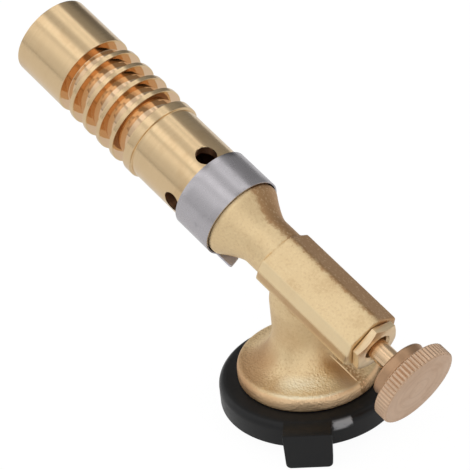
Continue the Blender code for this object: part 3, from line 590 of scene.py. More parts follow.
class Shader(NodeMaker):
    """A material's nodes, with coordinates that can follow the torch's axis."""

    def __init__(self, name: str) -> None:
        """Start an empty material with its Principled shader.

        Args:
            name: The material's name.
        """
        self.material = bpy.data.materials.new(name)
        self.material.use_nodes = True
        super().__init__(self.material.node_tree)
        self.principled = self.tree.nodes["Principled BSDF"]

    def coordinates(self, place: Matrix | None = None) -> Socket:
        """Object coordinates, turned into a place's own frame.

        Args:
            place: The frame to turn into.

        Returns:
            The vector.
        """
        source = self.add("ShaderNodeTexCoord").outputs["Object"]
        if place is None:
            return source
        values = {"Vector": source, "Location": place.translation, "Rotation": place.to_euler()}
        return self.out("ShaderNodeMapping", values, vector_type="TEXTURE")

    def scaled(self, vector: Socket, factors: Triple) -> Socket:
        """A vector times three factors."""
        return self.out("ShaderNodeVectorMath", {0: vector, 1: factors}, operation="MULTIPLY")

    def noise(self, vector: Socket, scale: float, detail: float = 3.0, roughness: float = 0.55) -> Term:
        """Noise between about 0 and 1.

        Args:
            vector: Where it is read.
            scale: Waves for each metre.
            detail: Finer layers.
            roughness: Their weight.

        Returns:
            The noise.
        """
        values = {"Vector": vector, "Scale": scale, "Detail": detail, "Roughness": roughness}
        return Term(self, self.add("ShaderNodeTexNoise", values).outputs["Fac"])

    def cells(self, vector: Socket, scale: float) -> Term:
        """Distance to the nearest of scattered points, in cells."""
        node = self.add("ShaderNodeTexVoronoi", {"Vector": vector, "Scale": scale})
        return Term(self, node.outputs["Distance"])

    def wash(self, colour: object, *layers: tuple[object, Triple]) -> Socket:
        """Lay tones over a colour, one after the other.

        Args:
            colour: The colour, or what feeds it.
            layers: The share of each tone, and the tone.

        Returns:
            The colour that results.
        """
        for share, tone in layers:
            values = {0: share, 6: colour, 7: shade(tone)}
            colour = self.add("ShaderNodeMix", values, data_type="RGBA").outputs[2]
        return colour

    def bump(self, height: Term, distance: float) -> Socket:
        """A normal bumped by a height between 0 and 1, where 1 measures the distance."""
        return self.out("ShaderNodeBump", {"Height": height, "Distance": distance})

    def dress(self, **values: object) -> Material:
        """Set the Principled shader's inputs.

        Args:
            values: Values or links by the input's name, where underscores stand for spaces.

        Returns:
            The material.
        """
        for name, value in values.items():
            self.feed(self.principled.inputs[name.replace("_", " ")], value)
        return self.material


@dataclass(frozen=True)
class TurnedBrass:
    """Brass from the lathe: fine rings, faint streaks along it and warm stains, with painted shade inside the
    bore and on the knob's hub.
    """

    name: str
    colour: Triple = (0.79, 0.585, 0.345)
    stain: Triple = (0.66, 0.43, 0.22)
    grooved: Triple = (0.78, 0.545, 0.34)
    # inside: painted shade inside the tube's bore; also the colour of the pits in the knob's face
    inside: Triple = (0.40, 0.22, 0.12)
    roughness: float = 0.20
    ring_height: float = 0.025 * MM
    ring_scale: float = 3800
    ring_stretch: Triple = (0.02, 0.02, 1)
    mark_scale: float = 420
    mark_stretch: Triple = (1, 1, 0.04)
    patch_scale: float = 120
    fine_scale: float = 2600
    face_scale: float = 900
    face_stretch: float = 0.05
    streak_share: float = 0.16
    stain_share: float = 0.35
    polished_radius: float = 0.0
    polished_start: float = 0.0
    polished_fade: float = 0.3 * MM
    polished_roughness: float = 0.06
    bore_shade_radii: Pair = span(12.9, 12.5)
    bore_shade_fade: float = 1 * MM
    metallic: float = 1.0
    # Painted shade: above this station along the axis the colour darkens; the knob uses it for its hub behind
    # the rim
    shade_start: float = 1.0
    shade_fade: float = 0.4 * MM
    face_rings: float = 0.0

    def material(self, place: Matrix) -> Material:
        """Build the finish.

        Args:
            place: The lathe's axis.

        Returns:
            The material.
        """
        shader = Shader(self.name)
        at = shader.coordinates(place)
        x, y, z = shader.parts(at)
        rings = shader.noise(shader.scaled(at, self.ring_stretch), self.ring_scale, 2)
        marks = shader.noise(shader.scaled(at, self.mark_stretch), self.mark_scale, 3)
        patches = shader.noise(at, self.patch_scale, 4, 0.6)
        fine = shader.noise(at, self.fine_scale, 2)
        colour = shader.wash(
            shade(self.colour),
            (patches.step(0.50, 0.72) * self.stain_share, self.stain),
            (marks.step(0.45, 0.75) * 0.35, toned(self.colour, 1.12)),
            (rings.step(0.42, 0.66) * self.streak_share, self.stain),
            # painted shade above that station
            (z.step(self.shade_start - self.shade_fade, self.shade_start) * 0.8, self.stain),
        )
        rough = self.roughness + patches.swing(0.16) + rings.swing(0.10) + fine.swing(0.06)
        relief = rings * 0.75 + fine * 0.25
        if self.face_rings:
            across = shader.vector(x=length(x, y), z=z * self.face_stretch)
            circles = shader.noise(across, self.face_scale, 2)
            pits = shader.noise(at, self.face_scale, 2).step(0.68, 0.78)
            share = circles.step(0.46, 0.62) * self.face_rings
            colour = shader.wash(colour, (share, self.stain), (pits * 0.5, self.inside))
            relief = relief + circles * 1.5 - pits
        if self.polished_radius:
            radius = length(x, y)
            start = self.polished_start
            polished = radius.step(self.polished_radius, self.polished_radius - self.polished_fade)
            polished = polished * z.step(start, start + self.polished_fade)
            # Painted shade inside the bore below the fins, seen through the air holes
            bore_shade = radius.step(*self.bore_shade_radii) * z.step(start, start - self.bore_shade_fade)
            colour = shader.wash(colour, (polished, self.grooved), (bore_shade, self.inside))
            rough = rough - polished * (self.roughness - self.polished_roughness) + bore_shade * 0.3
            relief = relief * (1 - polished * 0.8)
        normal = shader.bump(relief, self.ring_height)
        return shader.dress(Base_Color=colour, Metallic=self.metallic, Roughness=rough, Normal=normal)


class Ridge:
    """The parting ridge down the dome under the knob."""

    places: tuple[Triple, ...] = tuple(
        (height * MM, radius * MM, radians(turn)) for height, radius, turn in (
            (19.83, 11.65, 174.3), (18.12, 12.67, 178.5), (16.59, 13.93, 181.4), (15.32, 15.48, 182.9),
            (14.32, 17.30, 183.2), (13.71, 19.48, 182.4), (13.60, 20.70, 181.6),
        ))
    half: float = 0.26 * MM
    proud: float = 0.42 * MM
    deep: float = 0.5 * MM
    upward_share: float = 1.2
    section_shares: Points = ((1, 0), (0.7, 0.7), (0, 1), (-0.7, 0.7), (-1, 0))

    @classmethod
    def foot(cls, height: Term) -> Term:
        """Say how far to the side the ridge lies at a height.

        Args:
            height: The height.

        Returns:
            Its y.
        """
        places = [(at, radius * sin(turn)) for at, radius, turn in reversed(cls.places)]
        y = height * 0 + places[0][1]
        for (low, start), (high, end) in zip(places, places[1:]):
            y = y + height.step(low, high) * (end - start)
        return y


@dataclass(frozen=True)
class ForgedBrass:
    """Brass forging with a fine blasted grain, rougher low on the dome and browner in its hollows, with
    painted shade on its far side, underside and beyond the parting ridge, painted highlights and a painted
    reflection of the knob.
    """

    name: str
    colour: Triple = (0.88, 0.68, 0.40)
    stain: Triple = (0.62, 0.41, 0.21)
    # Painted shade for the far side, the dome's left, the block's downward facet and the dome beyond the
    # ridge; also the dark grain specks
    shade_and_dark_grain: Triple = (0.52, 0.285, 0.13)
    # Painted highlight on the block's side strip
    strip: Triple = (1.0, 0.81, 0.51)
    lit: Triple = (1.0, 0.90, 0.66)
    # Painted reflection: a lighter, more orange band round the dome's rim
    rim: Triple = (1.0, 0.68, 0.39)
    glint: Triple = (0.98, 0.80, 0.52)
    # Painted reflection of the knob on the dome beside the parting ridge
    knob_reflection: Triple = (0.50, 0.27, 0.115)
    roughness: float = 0.50
    grain_height: float = 0.13 * MM
    grain_scale: float = 1250
    pit_scale: float = 1500
    patch_scale: float = 90
    shaded_side_scale: float = 420
    flank_scale: float = 300
    low_levels: Pair = span(24, 14)
    shaded_side_levels: Pair = span(26, 34)
    rim_levels: Pair = span(13.4, 12.6)
    front_way: Pair = (-0.8, 0.6)
    front_levels: Pair = span(17, 14)
    far_way: Pair = (0.5, 0.866)
    far_levels: Pair = span(24, 17)
    post_start: Pair = span(21, 25)
    post_end: Pair = span(35, 32)
    post_radii: Pair = span(11.4, 10.7)
    flank_start: Pair = span(8.9, 9.3)
    flank_end: Pair = span(9, 7.6)
    strip_edge: Pair = span(0.0, -0.5)
    under_start: Pair = span(0.2, 0.7)
    under_end: Pair = span(4.2, 2.6)
    ridge_levels: Pair = span(21, 17)
    ridge_reach: Pair = span(-6, -9)
    knob_reflection_start: Pair = span(-0.1, 0.2)
    knob_reflection_end: Pair = span(7.5, 1.0)
    knob_reflection_levels: Pair = span(12.6, 13.8)
    beyond_ridge_shade_start: Pair = span(0.1, -0.2)
    beyond_ridge_shade_end: Pair = span(-6.0, -1.0)

    def material(self, place: Matrix) -> Material:
        """Build the finish.

        Args:
            place: The torch's axis, whose far side gets painted shade.

        Returns:
            The material.
        """
        shader = Shader(self.name)
        at = shader.coordinates()
        x, y, z = shader.parts(at)
        down, side, along = shader.parts(shader.coordinates(place))
        grain = shader.noise(at, self.grain_scale, 2, 0.6)
        pits = shader.cells(at, self.pit_scale)
        patches = shader.noise(at, self.patch_scale, 4, 0.6)
        low = z.step(*self.low_levels)
        front = facing(x, y, self.front_way).step(0.72, 0.96) * z.step(*self.front_levels)
        # Painted shade on the dome's left side
        far = facing(x, y, self.far_way).step(0.78, 0.96) * z.step(*self.far_levels)
        post = z.step(*self.post_start) * z.step(*self.post_end) * length(x, y).step(*self.post_radii)
        stains = patches.step(0.48, 0.74) * 0.35 + low * (1 - front) * patches.step(0.35, 0.7) * 0.25
        # Painted shade on the far (-Y) side of the bell, with an uneven edge
        shaded_side = side / length(down, side) + shader.noise(at, self.shaded_side_scale, 4, 0.7).swing(0.7)
        # Uneven strength of the painted highlight on the block's side strip and the painted shade on its
        # downward facet
        uneven_light = shader.noise(at, self.flank_scale, 3) * 0.5 + 0.6
        flank = side.step(*self.flank_start) * along.step(*self.flank_end) * uneven_light
        # Painted shade on the block's downward facet, under the strip
        under = down.step(*self.under_start) * down.step(*self.under_end)
        near = y - Ridge.foot(z)
        beside = z.step(*self.ridge_levels) * x.step(*self.ridge_reach)
        # Painted reflection of the knob beside the parting ridge, also smoother and less bumpy
        knob_reflection = near.step(*self.knob_reflection_start) * near.step(*self.knob_reflection_end)
        knob_reflection = knob_reflection * z.step(*self.knob_reflection_levels) * beside
        # Painted shade on the dome beyond the parting ridge
        beyond_ridge_shade = near.step(*self.beyond_ridge_shade_start) * near.step(*self.beyond_ridge_shade_end) * beside
        colour = shader.wash(
            shade(self.colour),
            (stains, self.stain),
            (shaded_side.step(0.10, -0.10) * z.step(*self.shaded_side_levels) * 0.84, self.shade_and_dark_grain),
            (grain.step(0.48, 0.32) * (0.18 + low * 0.25), self.shade_and_dark_grain),
            (grain.step(0.54, 0.68) * 0.38, self.glint),
            (front * 0.9, self.lit),
            # painted reflection on the dome's rim
            (z.step(*self.rim_levels) * 0.8, self.rim),
            (far * 0.6, self.shade_and_dark_grain),
            (post * 0.25, self.stain),
            (flank * down.step(*self.strip_edge) * 0.85, self.strip),
            (flank * under * 0.55, self.shade_and_dark_grain),
            (knob_reflection * 0.78, self.knob_reflection),
            (beyond_ridge_shade * grain.step(0.66, 0.44) * 0.8, self.shade_and_dark_grain),
        )
        height = grain * 0.7 + pits * 0.3 * (0.4 + low * 1.4)
        rough = self.roughness + patches.swing(0.18) + grain.swing(0.2) - knob_reflection * 0.08
        normal = shader.bump(height * (0.55 + low * 0.9) * (1 - knob_reflection * 0.6), self.grain_height)
        return shader.dress(Base_Color=colour, Metallic=1.0, Roughness=rough, Normal=normal)


@dataclass(frozen=True)
class SatinSteel:
    """Steel sheet with a satin grain round it, a few dark smudges and painted light on its tab."""

    name: str
    colour: Triple = (0.52, 0.495, 0.515)
    cloudy: Triple = (0.58, 0.57, 0.60)
    # Painted light: a pale, matt colour for the tab's inner face
    lit_tab_colour: Triple = (0.62, 0.62, 0.72)
    roughness: float = 0.28
    grain_height: float = 0.004 * MM
    grain_scale: float = 4200
    grain_stretch: Triple = (0.06, 0.06, 1)
    smudge_scale: float = 260
    cloud_scale: float = 60
    tab_start: float = -1.0
    tab_fade: float = 0.5 * MM

    def material(self, place: Matrix) -> Material:
        """Build the finish.

        Args:
            place: The axis that the grain runs round.

        Returns:
            The material.
        """
        shader = Shader(self.name)
        at = shader.coordinates(place)
        grain = shader.noise(shader.scaled(at, self.grain_stretch), self.grain_scale, 3)
        smudge = shader.noise(at, self.smudge_scale, 4, 0.65)
        cloud = shader.noise(at, self.cloud_scale, 3)
        # The tab gets painted light
        tab = shader.parts(at)[2].step(self.tab_start, self.tab_start - self.tab_fade)
        colour = shader.wash(
            shade(self.colour),
            (smudge.step(0.60, 0.78) * 0.6, toned(self.colour, 0.62)),
            (cloud.step(0.35, 0.75) * 0.25, self.cloudy),
            (tab * 0.9, self.lit_tab_colour),
        )
        rough = self.roughness + smudge.swing(0.25) + grain.swing(0.12) + tab * 0.4
        normal = shader.bump(grain, self.grain_height)
        return shader.dress(Base_Color=colour, Metallic=1 - tab, Roughness=rough, Normal=normal)


@dataclass(frozen=True)
class MouldedPlastic:
    """Black moulded plastic with a faint skin, matt marks, painted shade on its top and a painted highlight
    beside its tab.
    """

    name: str
    colour: Triple = (0.0075, 0.0075, 0.008)
    marked: Triple = (0.018, 0.018, 0.019)
    # Painted shade on the collar's top face
    top_shade: Triple = (0.002, 0.002, 0.002)
    # Painted highlight on the collar's rounded edge beside the tab
    collar_highlight_grey: Triple = (0.36, 0.36, 0.37)
    roughness: float = 0.36
    gloss: float = 0.32
    skin_height: float = 0.012 * MM
    skin_scale: float = 2400
    mark_scale: float = 180
    mark_stretch: Triple = (1, 1, 3)
    top_shade_levels: Pair = span(7.6, 8.0)
    collar_highlight_way: Pair = (-0.921, 0.391)
    collar_highlight_start: Pair = span(4.6, 5.6)
    collar_highlight_end: Pair = span(8.0, 7.2)

    def material(self) -> Material:
        """Build the finish.

        Returns:
            The material.
        """
        shader = Shader(self.name)
        at = shader.coordinates()
        x, y, z = shader.parts(at)
        skin = shader.noise(at, self.skin_scale, 3)
        marks = shader.noise(shader.scaled(at, self.mark_stretch), self.mark_scale, 5, 0.7)
        # Painted shade: the collar's top face is made blacker
        top = z.step(*self.top_shade_levels)
        # Painted highlight on the rounded edge beside the tab
        beside = (facing(x, y, self.collar_highlight_way) + skin.swing(0.004)).step(0.9930, 0.9960)
        collar_highlight = beside * z.step(*self.collar_highlight_start) * z.step(*self.collar_highlight_end)
        colour = shader.wash(
            shade(self.colour),
            (marks.step(0.58, 0.8) * 0.5, self.marked),
            (top * 0.7, self.top_shade),
            (collar_highlight * marks.step(0.25, 0.55), self.collar_highlight_grey),
        )
        rough = self.roughness + marks.swing(0.35) + skin.swing(0.1) + top * 0.25
        normal = shader.bump(skin, self.skin_height)
        shader.dress(Specular_IOR_Level=self.gloss)
        return shader.dress(Base_Color=colour, Metallic=0.0, Roughness=rough, Normal=normal)


@dataclass(frozen=True)
class SoftStuff:
    """Rubber or packing: a matt, slightly mottled surface."""

    name: str
    colour: Triple
    roughness: float
    mottle_height: float = 0.01 * MM
    mottle_scale: float = 900

    def material(self) -> Material:
        """Build the finish.

        Returns:
            The material.
        """
        shader = Shader(self.name)
        mottle = shader.noise(shader.coordinates(), self.mottle_scale, 3)
        pale = toned(self.colour, 1.5, 0.01)
        colour = shader.wash(shade(self.colour), (mottle.step(0.4, 0.8) * 0.5, pale))
        rough = self.roughness + mottle.swing(0.15)
        normal = shader.bump(mottle, self.mottle_height)
        return shader.dress(Base_Color=colour, Metallic=0.0, Roughness=rough, Normal=normal)


@dataclass(frozen=True)
class SinteredBronze:
    """Pressed bronze beads of the filters."""

    name: str
    colour: Triple = (0.48, 0.34, 0.20)
    pores: Triple = (0.1, 0.06, 0.03)
    bead_height: float = -0.05 * MM
    bead_scale: float = 4000

    def material(self) -> Material:
        """Build the finish.

        Returns:
            The material.
        """
        shader = Shader(self.name)
        beads = shader.cells(shader.coordinates(), self.bead_scale)
        colour = shader.wash(shade(self.colour), (beads.step(0.3, 0.8), self.pores))
        normal = shader.bump(beads, self.bead_height)
        return shader.dress(Base_Color=colour, Metallic=1.0, Roughness=0.6 + beads * 0.3, Normal=normal)


@dataclass
class Finishes:
    """Every finish of the torch, made once."""

    axis: TorchAxis

    def __post_init__(self) -> None:
        """Make the materials."""
        along = self.axis.place
        upright = Matrix.Identity(4)
        tube = TurnedBrass("turned_tube_brass", polished_radius=13.7 * MM, polished_start=68.6 * MM)
        small = TurnedBrass("turned_small_brass", (0.82, 0.58, 0.36), roughness=0.24)
        nut = TurnedBrass("nut_brass", (0.98, 0.75, 0.47), roughness=0.36, metallic=0.75)
        # The knob's hub, behind its rim, gets painted shade
        knob = TurnedBrass("knob_brass", (0.69, 0.485, 0.335), (0.50, 0.30, 0.17), roughness=0.40,
                           shade_start=-45.6 * MM, face_rings=0.22)
        turned_round = [brass.material(along) for brass in (tube, small, nut, knob)]
        self.tube, self.small, self.nut, self.knob = turned_round
        self.inlet = TurnedBrass("turned_inlet_brass").material(upright)
        self.forged = ForgedBrass("forged_brass").material(along)
        # Lighter brass for the parting ridge: a painted edge highlight
        self.ridge = TurnedBrass("ridge_brass", (0.95, 0.74, 0.46), roughness=0.40).material(upright)
        self.sleeve = SatinSteel("sleeve_steel", tab_start=26.6 * MM).material(along)
        self.plate = SatinSteel("plate_steel", (0.58, 0.58, 0.58)).material(upright)
        self.plastic = MouldedPlastic("moulded_plastic").material()
        self.rubber = SoftStuff("seal_rubber", (0.02, 0.02, 0.02), 0.7).material()
        self.packing = SoftStuff("gland_packing_white", (0.75, 0.75, 0.72), 0.6).material()
        self.sintered = SinteredBronze("sintered_bronze").material()


def wear(thing: Thing, finish: Material) -> None:
    """Give an object one material."""
    thing.data.materials.clear()
    thing.data.materials.append(finish)


def keep(thing: Thing, body: Body, slot: Slot, finish: Material, *nodes: str) -> None:
    """Dress a finished piece, let it ride and hide the CAD nodes that it replaces.

    Args:
        thing: The piece.
        body: What it moves with.
        slot: Not used.
        finish: Its material.
        nodes: The CAD nodes that it replaces.
    """
    wear(thing, finish)
    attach(thing, body.value)
    if nodes:
        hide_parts(*nodes)
    LOG.info("%s: %d faces", thing.name, len(thing.data.polygons))


# Sub-assemblies

OVER = 4 * MM
APART = 0.02 * MM


@dataclass
class SubAssembly:
    """Pieces that share the torch's axis and its finishes."""

    axis: TorchAxis
    finishes: Finishes


@dataclass
class Burner(SubAssembly):
    """The burner tube with its fins and air holes, the flame holder and the gauze."""

    tube_radius: float = 13.1 * MM
    bore_radius: float = 10.0 * MM
    socket_radius: float = 11.4 * MM
    socket_end: float = 37.0 * MM
    start: float = 28.6 * MM
    band_start: float = 64.2 * MM
    band_radius: float = 13.9 * MM
    band_slope: float = 0.1 * MM
    groove_radius: float = 10.9 * MM
    fin_radius: float = 14.1 * MM
    fin_root: float = 0.3 * MM
    fin_count: int = 4
    fin_pitch: float = 6.56 * MM
    fin_tip: float = 1.55 * MM
    fin_flank: float = 0.7 * MM
    fin_back: float = 0.3 * MM
    fin_edge: float = 0.14 * MM
    head_start: float = 98.8 * MM
    mouth: float = 120.2 * MM
    mouth_radius: float = 12.2 * MM
    mouth_depth: float = 17.2 * MM
    edge: float = 0.18 * MM
    hole_radius: float = 3.4 * MM
    hole_station: float = 44.8 * MM
    hole_turn: float = radians(7)
    hole_count: int = 4
    hole_sink: float = 0.25 * MM
    hole_start: float = 4 * MM
    holder_start: float = 104.2 * MM
    holder_end: float = 111.2 * MM
    holder_radius: float = 11.9 * MM
    holder_edge: float = 0.3 * MM
    port_radius: float = 1.3 * MM
    port_circle: float = 8.3 * MM
    port_count: int = 10
    centre_port: float = 4.2 * MM
    gauze_start: float = 103.3 * MM
    gauze_wire: float = 0.22 * MM
    gauze_pitch: float = 1.1 * MM

    def build(self) -> None:
        """Make and dress the burner's pieces."""
        tube = self.tube()
        self.air_holes(tube)
        keep(tube, Body.TORCH, Slot.TURNED, self.finishes.tube, "burner_tube")
        keep(self.fins(), Body.TORCH, Slot.TURNED, self.finishes.tube)
        keep(self.holder(), Body.TORCH, Slot.TURNED, self.finishes.small, "flame_holder")
        keep(self.gauze(), Body.TORCH, Slot.STEEL, self.finishes.plate, "flame_gauze")

    def tube(self) -> Thing:
        """Turn the tube: lower tube, band, core under the fins and head.

        Returns:
            The tube in the torch's own frame, still to be holed.
        """
        lowest = self.head_start - self.fin_count * self.fin_pitch
        band_end = lowest - self.fin_pitch + self.fin_tip
        mouth_end = self.mouth - self.mouth_depth
        lower, band, core, fin = self.tube_radius, self.band_radius, self.groove_radius, self.fin_radius
        outline = [
            (lower, self.start), (lower, self.band_start - self.band_slope),
            (band, self.band_start + self.band_slope), (band, band_end), (core, band_end + self.fin_back),
            (core, self.head_start - self.fin_flank), (fin, self.head_start), (fin, self.mouth),
            (self.mouth_radius, self.mouth), (self.mouth_radius, mouth_end), (self.bore_radius, mouth_end),
            (self.bore_radius, self.socket_end), (self.socket_radius, self.socket_end),
            (self.socket_radius, self.start),
        ]
        return shaped("burner_tube_turned", turned(softened(outline, self.edge), steps=192))

    def air_holes(self, tube: Thing) -> None:
        """Drill the ring of air holes, each with a small countersink.

        Args:
            tube: The tube in the torch's own frame.
        """
        wide = self.hole_radius + self.hole_sink * 1.6
        drill = [(self.hole_radius, self.hole_start), (self.hole_radius, self.tube_radius - self.hole_sink),
                 (wide, self.tube_radius + self.hole_sink * 0.6), (wide, self.tube_radius + 2 * MM)]
        lying = Matrix.Rotation(pi / 2, 4, "Y")
        cutter = shaped("air_hole_drill", turned(drill, steps=48, closed=False), lying)
        tree = GeometryTree("air_holes", {"Count": self.hole_count, "Station": self.hole_station})
        ring = tree.around("Count", tree.given["Geometry"], -self.hole_turn)
        tree.run(tree.moved(ring, tree.vector(z=tree.size("Station"))), cutter, self.finishes.tube)
        cut(tube, cutter)
        plain(tube, sharp=32)
        tube.data.transform(self.axis.place)

    def fins(self) -> Thing:
        """Repeat one turned fin down the tube with Geometry Nodes.

        Returns:
            The fins as one object.
        """
        root = self.groove_radius - self.fin_root
        top = self.head_start - self.fin_pitch
        back = top + self.fin_tip + self.fin_back
        outline = [
            (root, top - self.fin_flank), (self.groove_radius, top - self.fin_flank), (self.fin_radius, top),
            (self.fin_radius, top + self.fin_tip), (self.groove_radius, back), (root, back),
        ]
        fin = shaped("cooling_fins", turned(softened(outline, self.fin_edge), steps=192))
        tree = GeometryTree("fin_row", {"Count": self.fin_count, "Pitch": self.fin_pitch})
        row = tree.row("Count", tree.given["Geometry"], tree.vector(z=tree.size("Pitch") * -1))
        return tree.run(row, fin, self.finishes.tube, self.axis.place, sharp=32)

    def holder(self) -> Thing:
        """Make the flame holder, with its ring of ports drilled by Geometry Nodes.

        Returns:
            The flame holder.
        """
        outline = box(self.holder_radius, self.centre_port, self.holder_start, self.holder_end)
        plug = shaped("flame_holder_drilled", turned(softened(outline, self.holder_edge), steps=96))
        sizes = {"Ports": self.port_count, "Circle": self.port_circle, "Radius": self.port_radius}
        tree = GeometryTree("flame_ports", sizes)
        ports, circle, radius = (tree.size(label) for label in sizes)
        depth = self.holder_end - self.holder_start + OVER
        ring = tree.out("GeometryNodeCurvePrimitiveCircle", {"Resolution": ports, "Radius": circle})
        drill = tree.out("GeometryNodeMeshCylinder", {"Vertices": 24, "Radius": radius, "Depth": depth})
        spots = tree.out("GeometryNodeCurveToPoints", {"Curve": ring}, mode="EVALUATED")
        middle = (self.holder_start + self.holder_end) / 2
        drills = tree.moved(tree.real(tree.copies(spots, drill)), (0, 0, middle))
        values = {"Mesh 1": tree.given["Geometry"], "Mesh 2": drills}
        drilled = tree.out("GeometryNodeMeshBoolean", values, operation="DIFFERENCE", solver="EXACT")
        return tree.run(drilled, plug, self.finishes.small, self.axis.place, sharp=30)

    def gauze(self) -> Thing:
        """Weave the gauze of crossed wires, trimmed to a disc.

        Returns:
            The gauze.
        """
        reach = self.holder_radius - self.gauze_wire
        count = int(reach / self.gauze_pitch)
        lying = Matrix.Rotation(pi / 2, 4, "Y")
        rods = []
        for i in range(-count, count + 1):
            offset = i * self.gauze_pitch
            half = (reach**2 - offset**2) ** 0.5
            for turn, level in ((0, 0), (pi / 2, self.gauze_wire * 1.2)):
                rod = turned([(self.gauze_wire, -half), (self.gauze_wire, half)], steps=8, closed=False)
                lift = Matrix.Translation((0, 0, self.gauze_start + self.gauze_wire + level))
                across = lift @ Matrix.Rotation(turn, 4, "Z") @ Matrix.Translation((0, offset, 0))
                rod.transform(across @ lying)
                rods.append(rod)
        return plain(shaped("flame_gauze_woven", merged(*rods), self.axis.place))


@dataclass
class AirSleeve(SubAssembly):
    """The sliding steel band with its thumb tab."""

    radius: float = 14.25 * MM
    wall: float = 0.5 * MM
    edge: float = 0.1 * MM
    start: float = 26.8 * MM
    length: float = 14.7 * MM
    tab_length: float = 6.8 * MM
    tab_slant: float = 3.0 * MM
    tab_width: float = 7.6 * MM
    tab_corner: float = 1.3 * MM
    tab_turn: float = radians(160)
    steps: int = 192
    tab_steps: int = 24
    rows: int = 6

    def build(self) -> None:
        """Make and dress the sleeve."""
        keep(self.band(), Body.SLEEVE, Slot.STEEL, self.finishes.sleeve, "air_sleeve")

    def lower_edge(self, offset: float) -> float:
        """Station of the tab's edge at a distance round the sleeve from its middle.

        Args:
            offset: The distance.

        Returns:
            The station.
        """
        half = self.tab_width / 2
        into = min(max(abs(offset) - (half - self.tab_corner), 0), self.tab_corner)
        slant = self.tab_slant * (offset + half) / self.tab_width
        return self.start - self.tab_length + slant + self.tab_corner - (self.tab_corner**2 - into**2) ** 0.5

    def turns(self) -> list[tuple[float, float | None]]:
        """Place the band's columns, closer together at the tab's corners.

        Returns:
            Turn of each column, with its tab edge where it has one.
        """
        half = self.tab_width / 2 / self.radius
        rest = self.steps - self.tab_steps
        columns = []
        for i in range(self.tab_steps + 1):
            part = sin(pi / 2 * (2 * i / self.tab_steps - 1))
            columns.append((self.tab_turn + half * part, self.lower_edge(half * part * self.radius)))
        for i in range(1, rest):
            columns.append((self.tab_turn + half + (tau - 2 * half) * i / rest, None))
        return columns

    def band(self) -> Thing:
        """Make the band and its tab as one bent sheet with rounded edges.

        Returns:
            The sleeve.
        """
        mesh = bmesh.new()
        columns = []
        for turn, low in self.turns():
            x, y = -self.radius * cos(turn), self.radius * sin(turn)
            heights = [self.start + self.length * (1 - k / self.rows) for k in range(self.rows + 1)]
            if low is not None:
                heights += [self.start + (low - self.start) * k / self.rows for k in range(1, self.rows + 1)]
            columns.append([mesh.verts.new((x, y, height)) for height in heights])
        for column, after in zip(columns, columns[1:] + columns[:1]):
            for k in range(min(len(column), len(after)) - 1):
                mesh.faces.new((column[k], column[k + 1], after[k + 1], after[k]))
        bmesh.ops.recalc_face_normals(mesh, faces=mesh.faces)
        band = shaped("air_sleeve_band", mesh)
        face = band.data.polygons[0]
        if face.normal.dot(Vector((face.center.x, face.center.y, 0))) < 0:
            band.data.flip_normals()
        wall = band.modifiers.new("wall", "SOLIDIFY")
        wall.thickness = self.wall
        wall.offset = -1
        wall.use_even_offset = True
        edge = band.modifiers.new("edge", "BEVEL")
        edge.width = self.edge
        edge.segments = 2
        edge.limit_method = "ANGLE"
        edge.angle_limit = radians(50)
        plain(band, sharp=40)
        band.data.transform(self.axis.place)
        return band


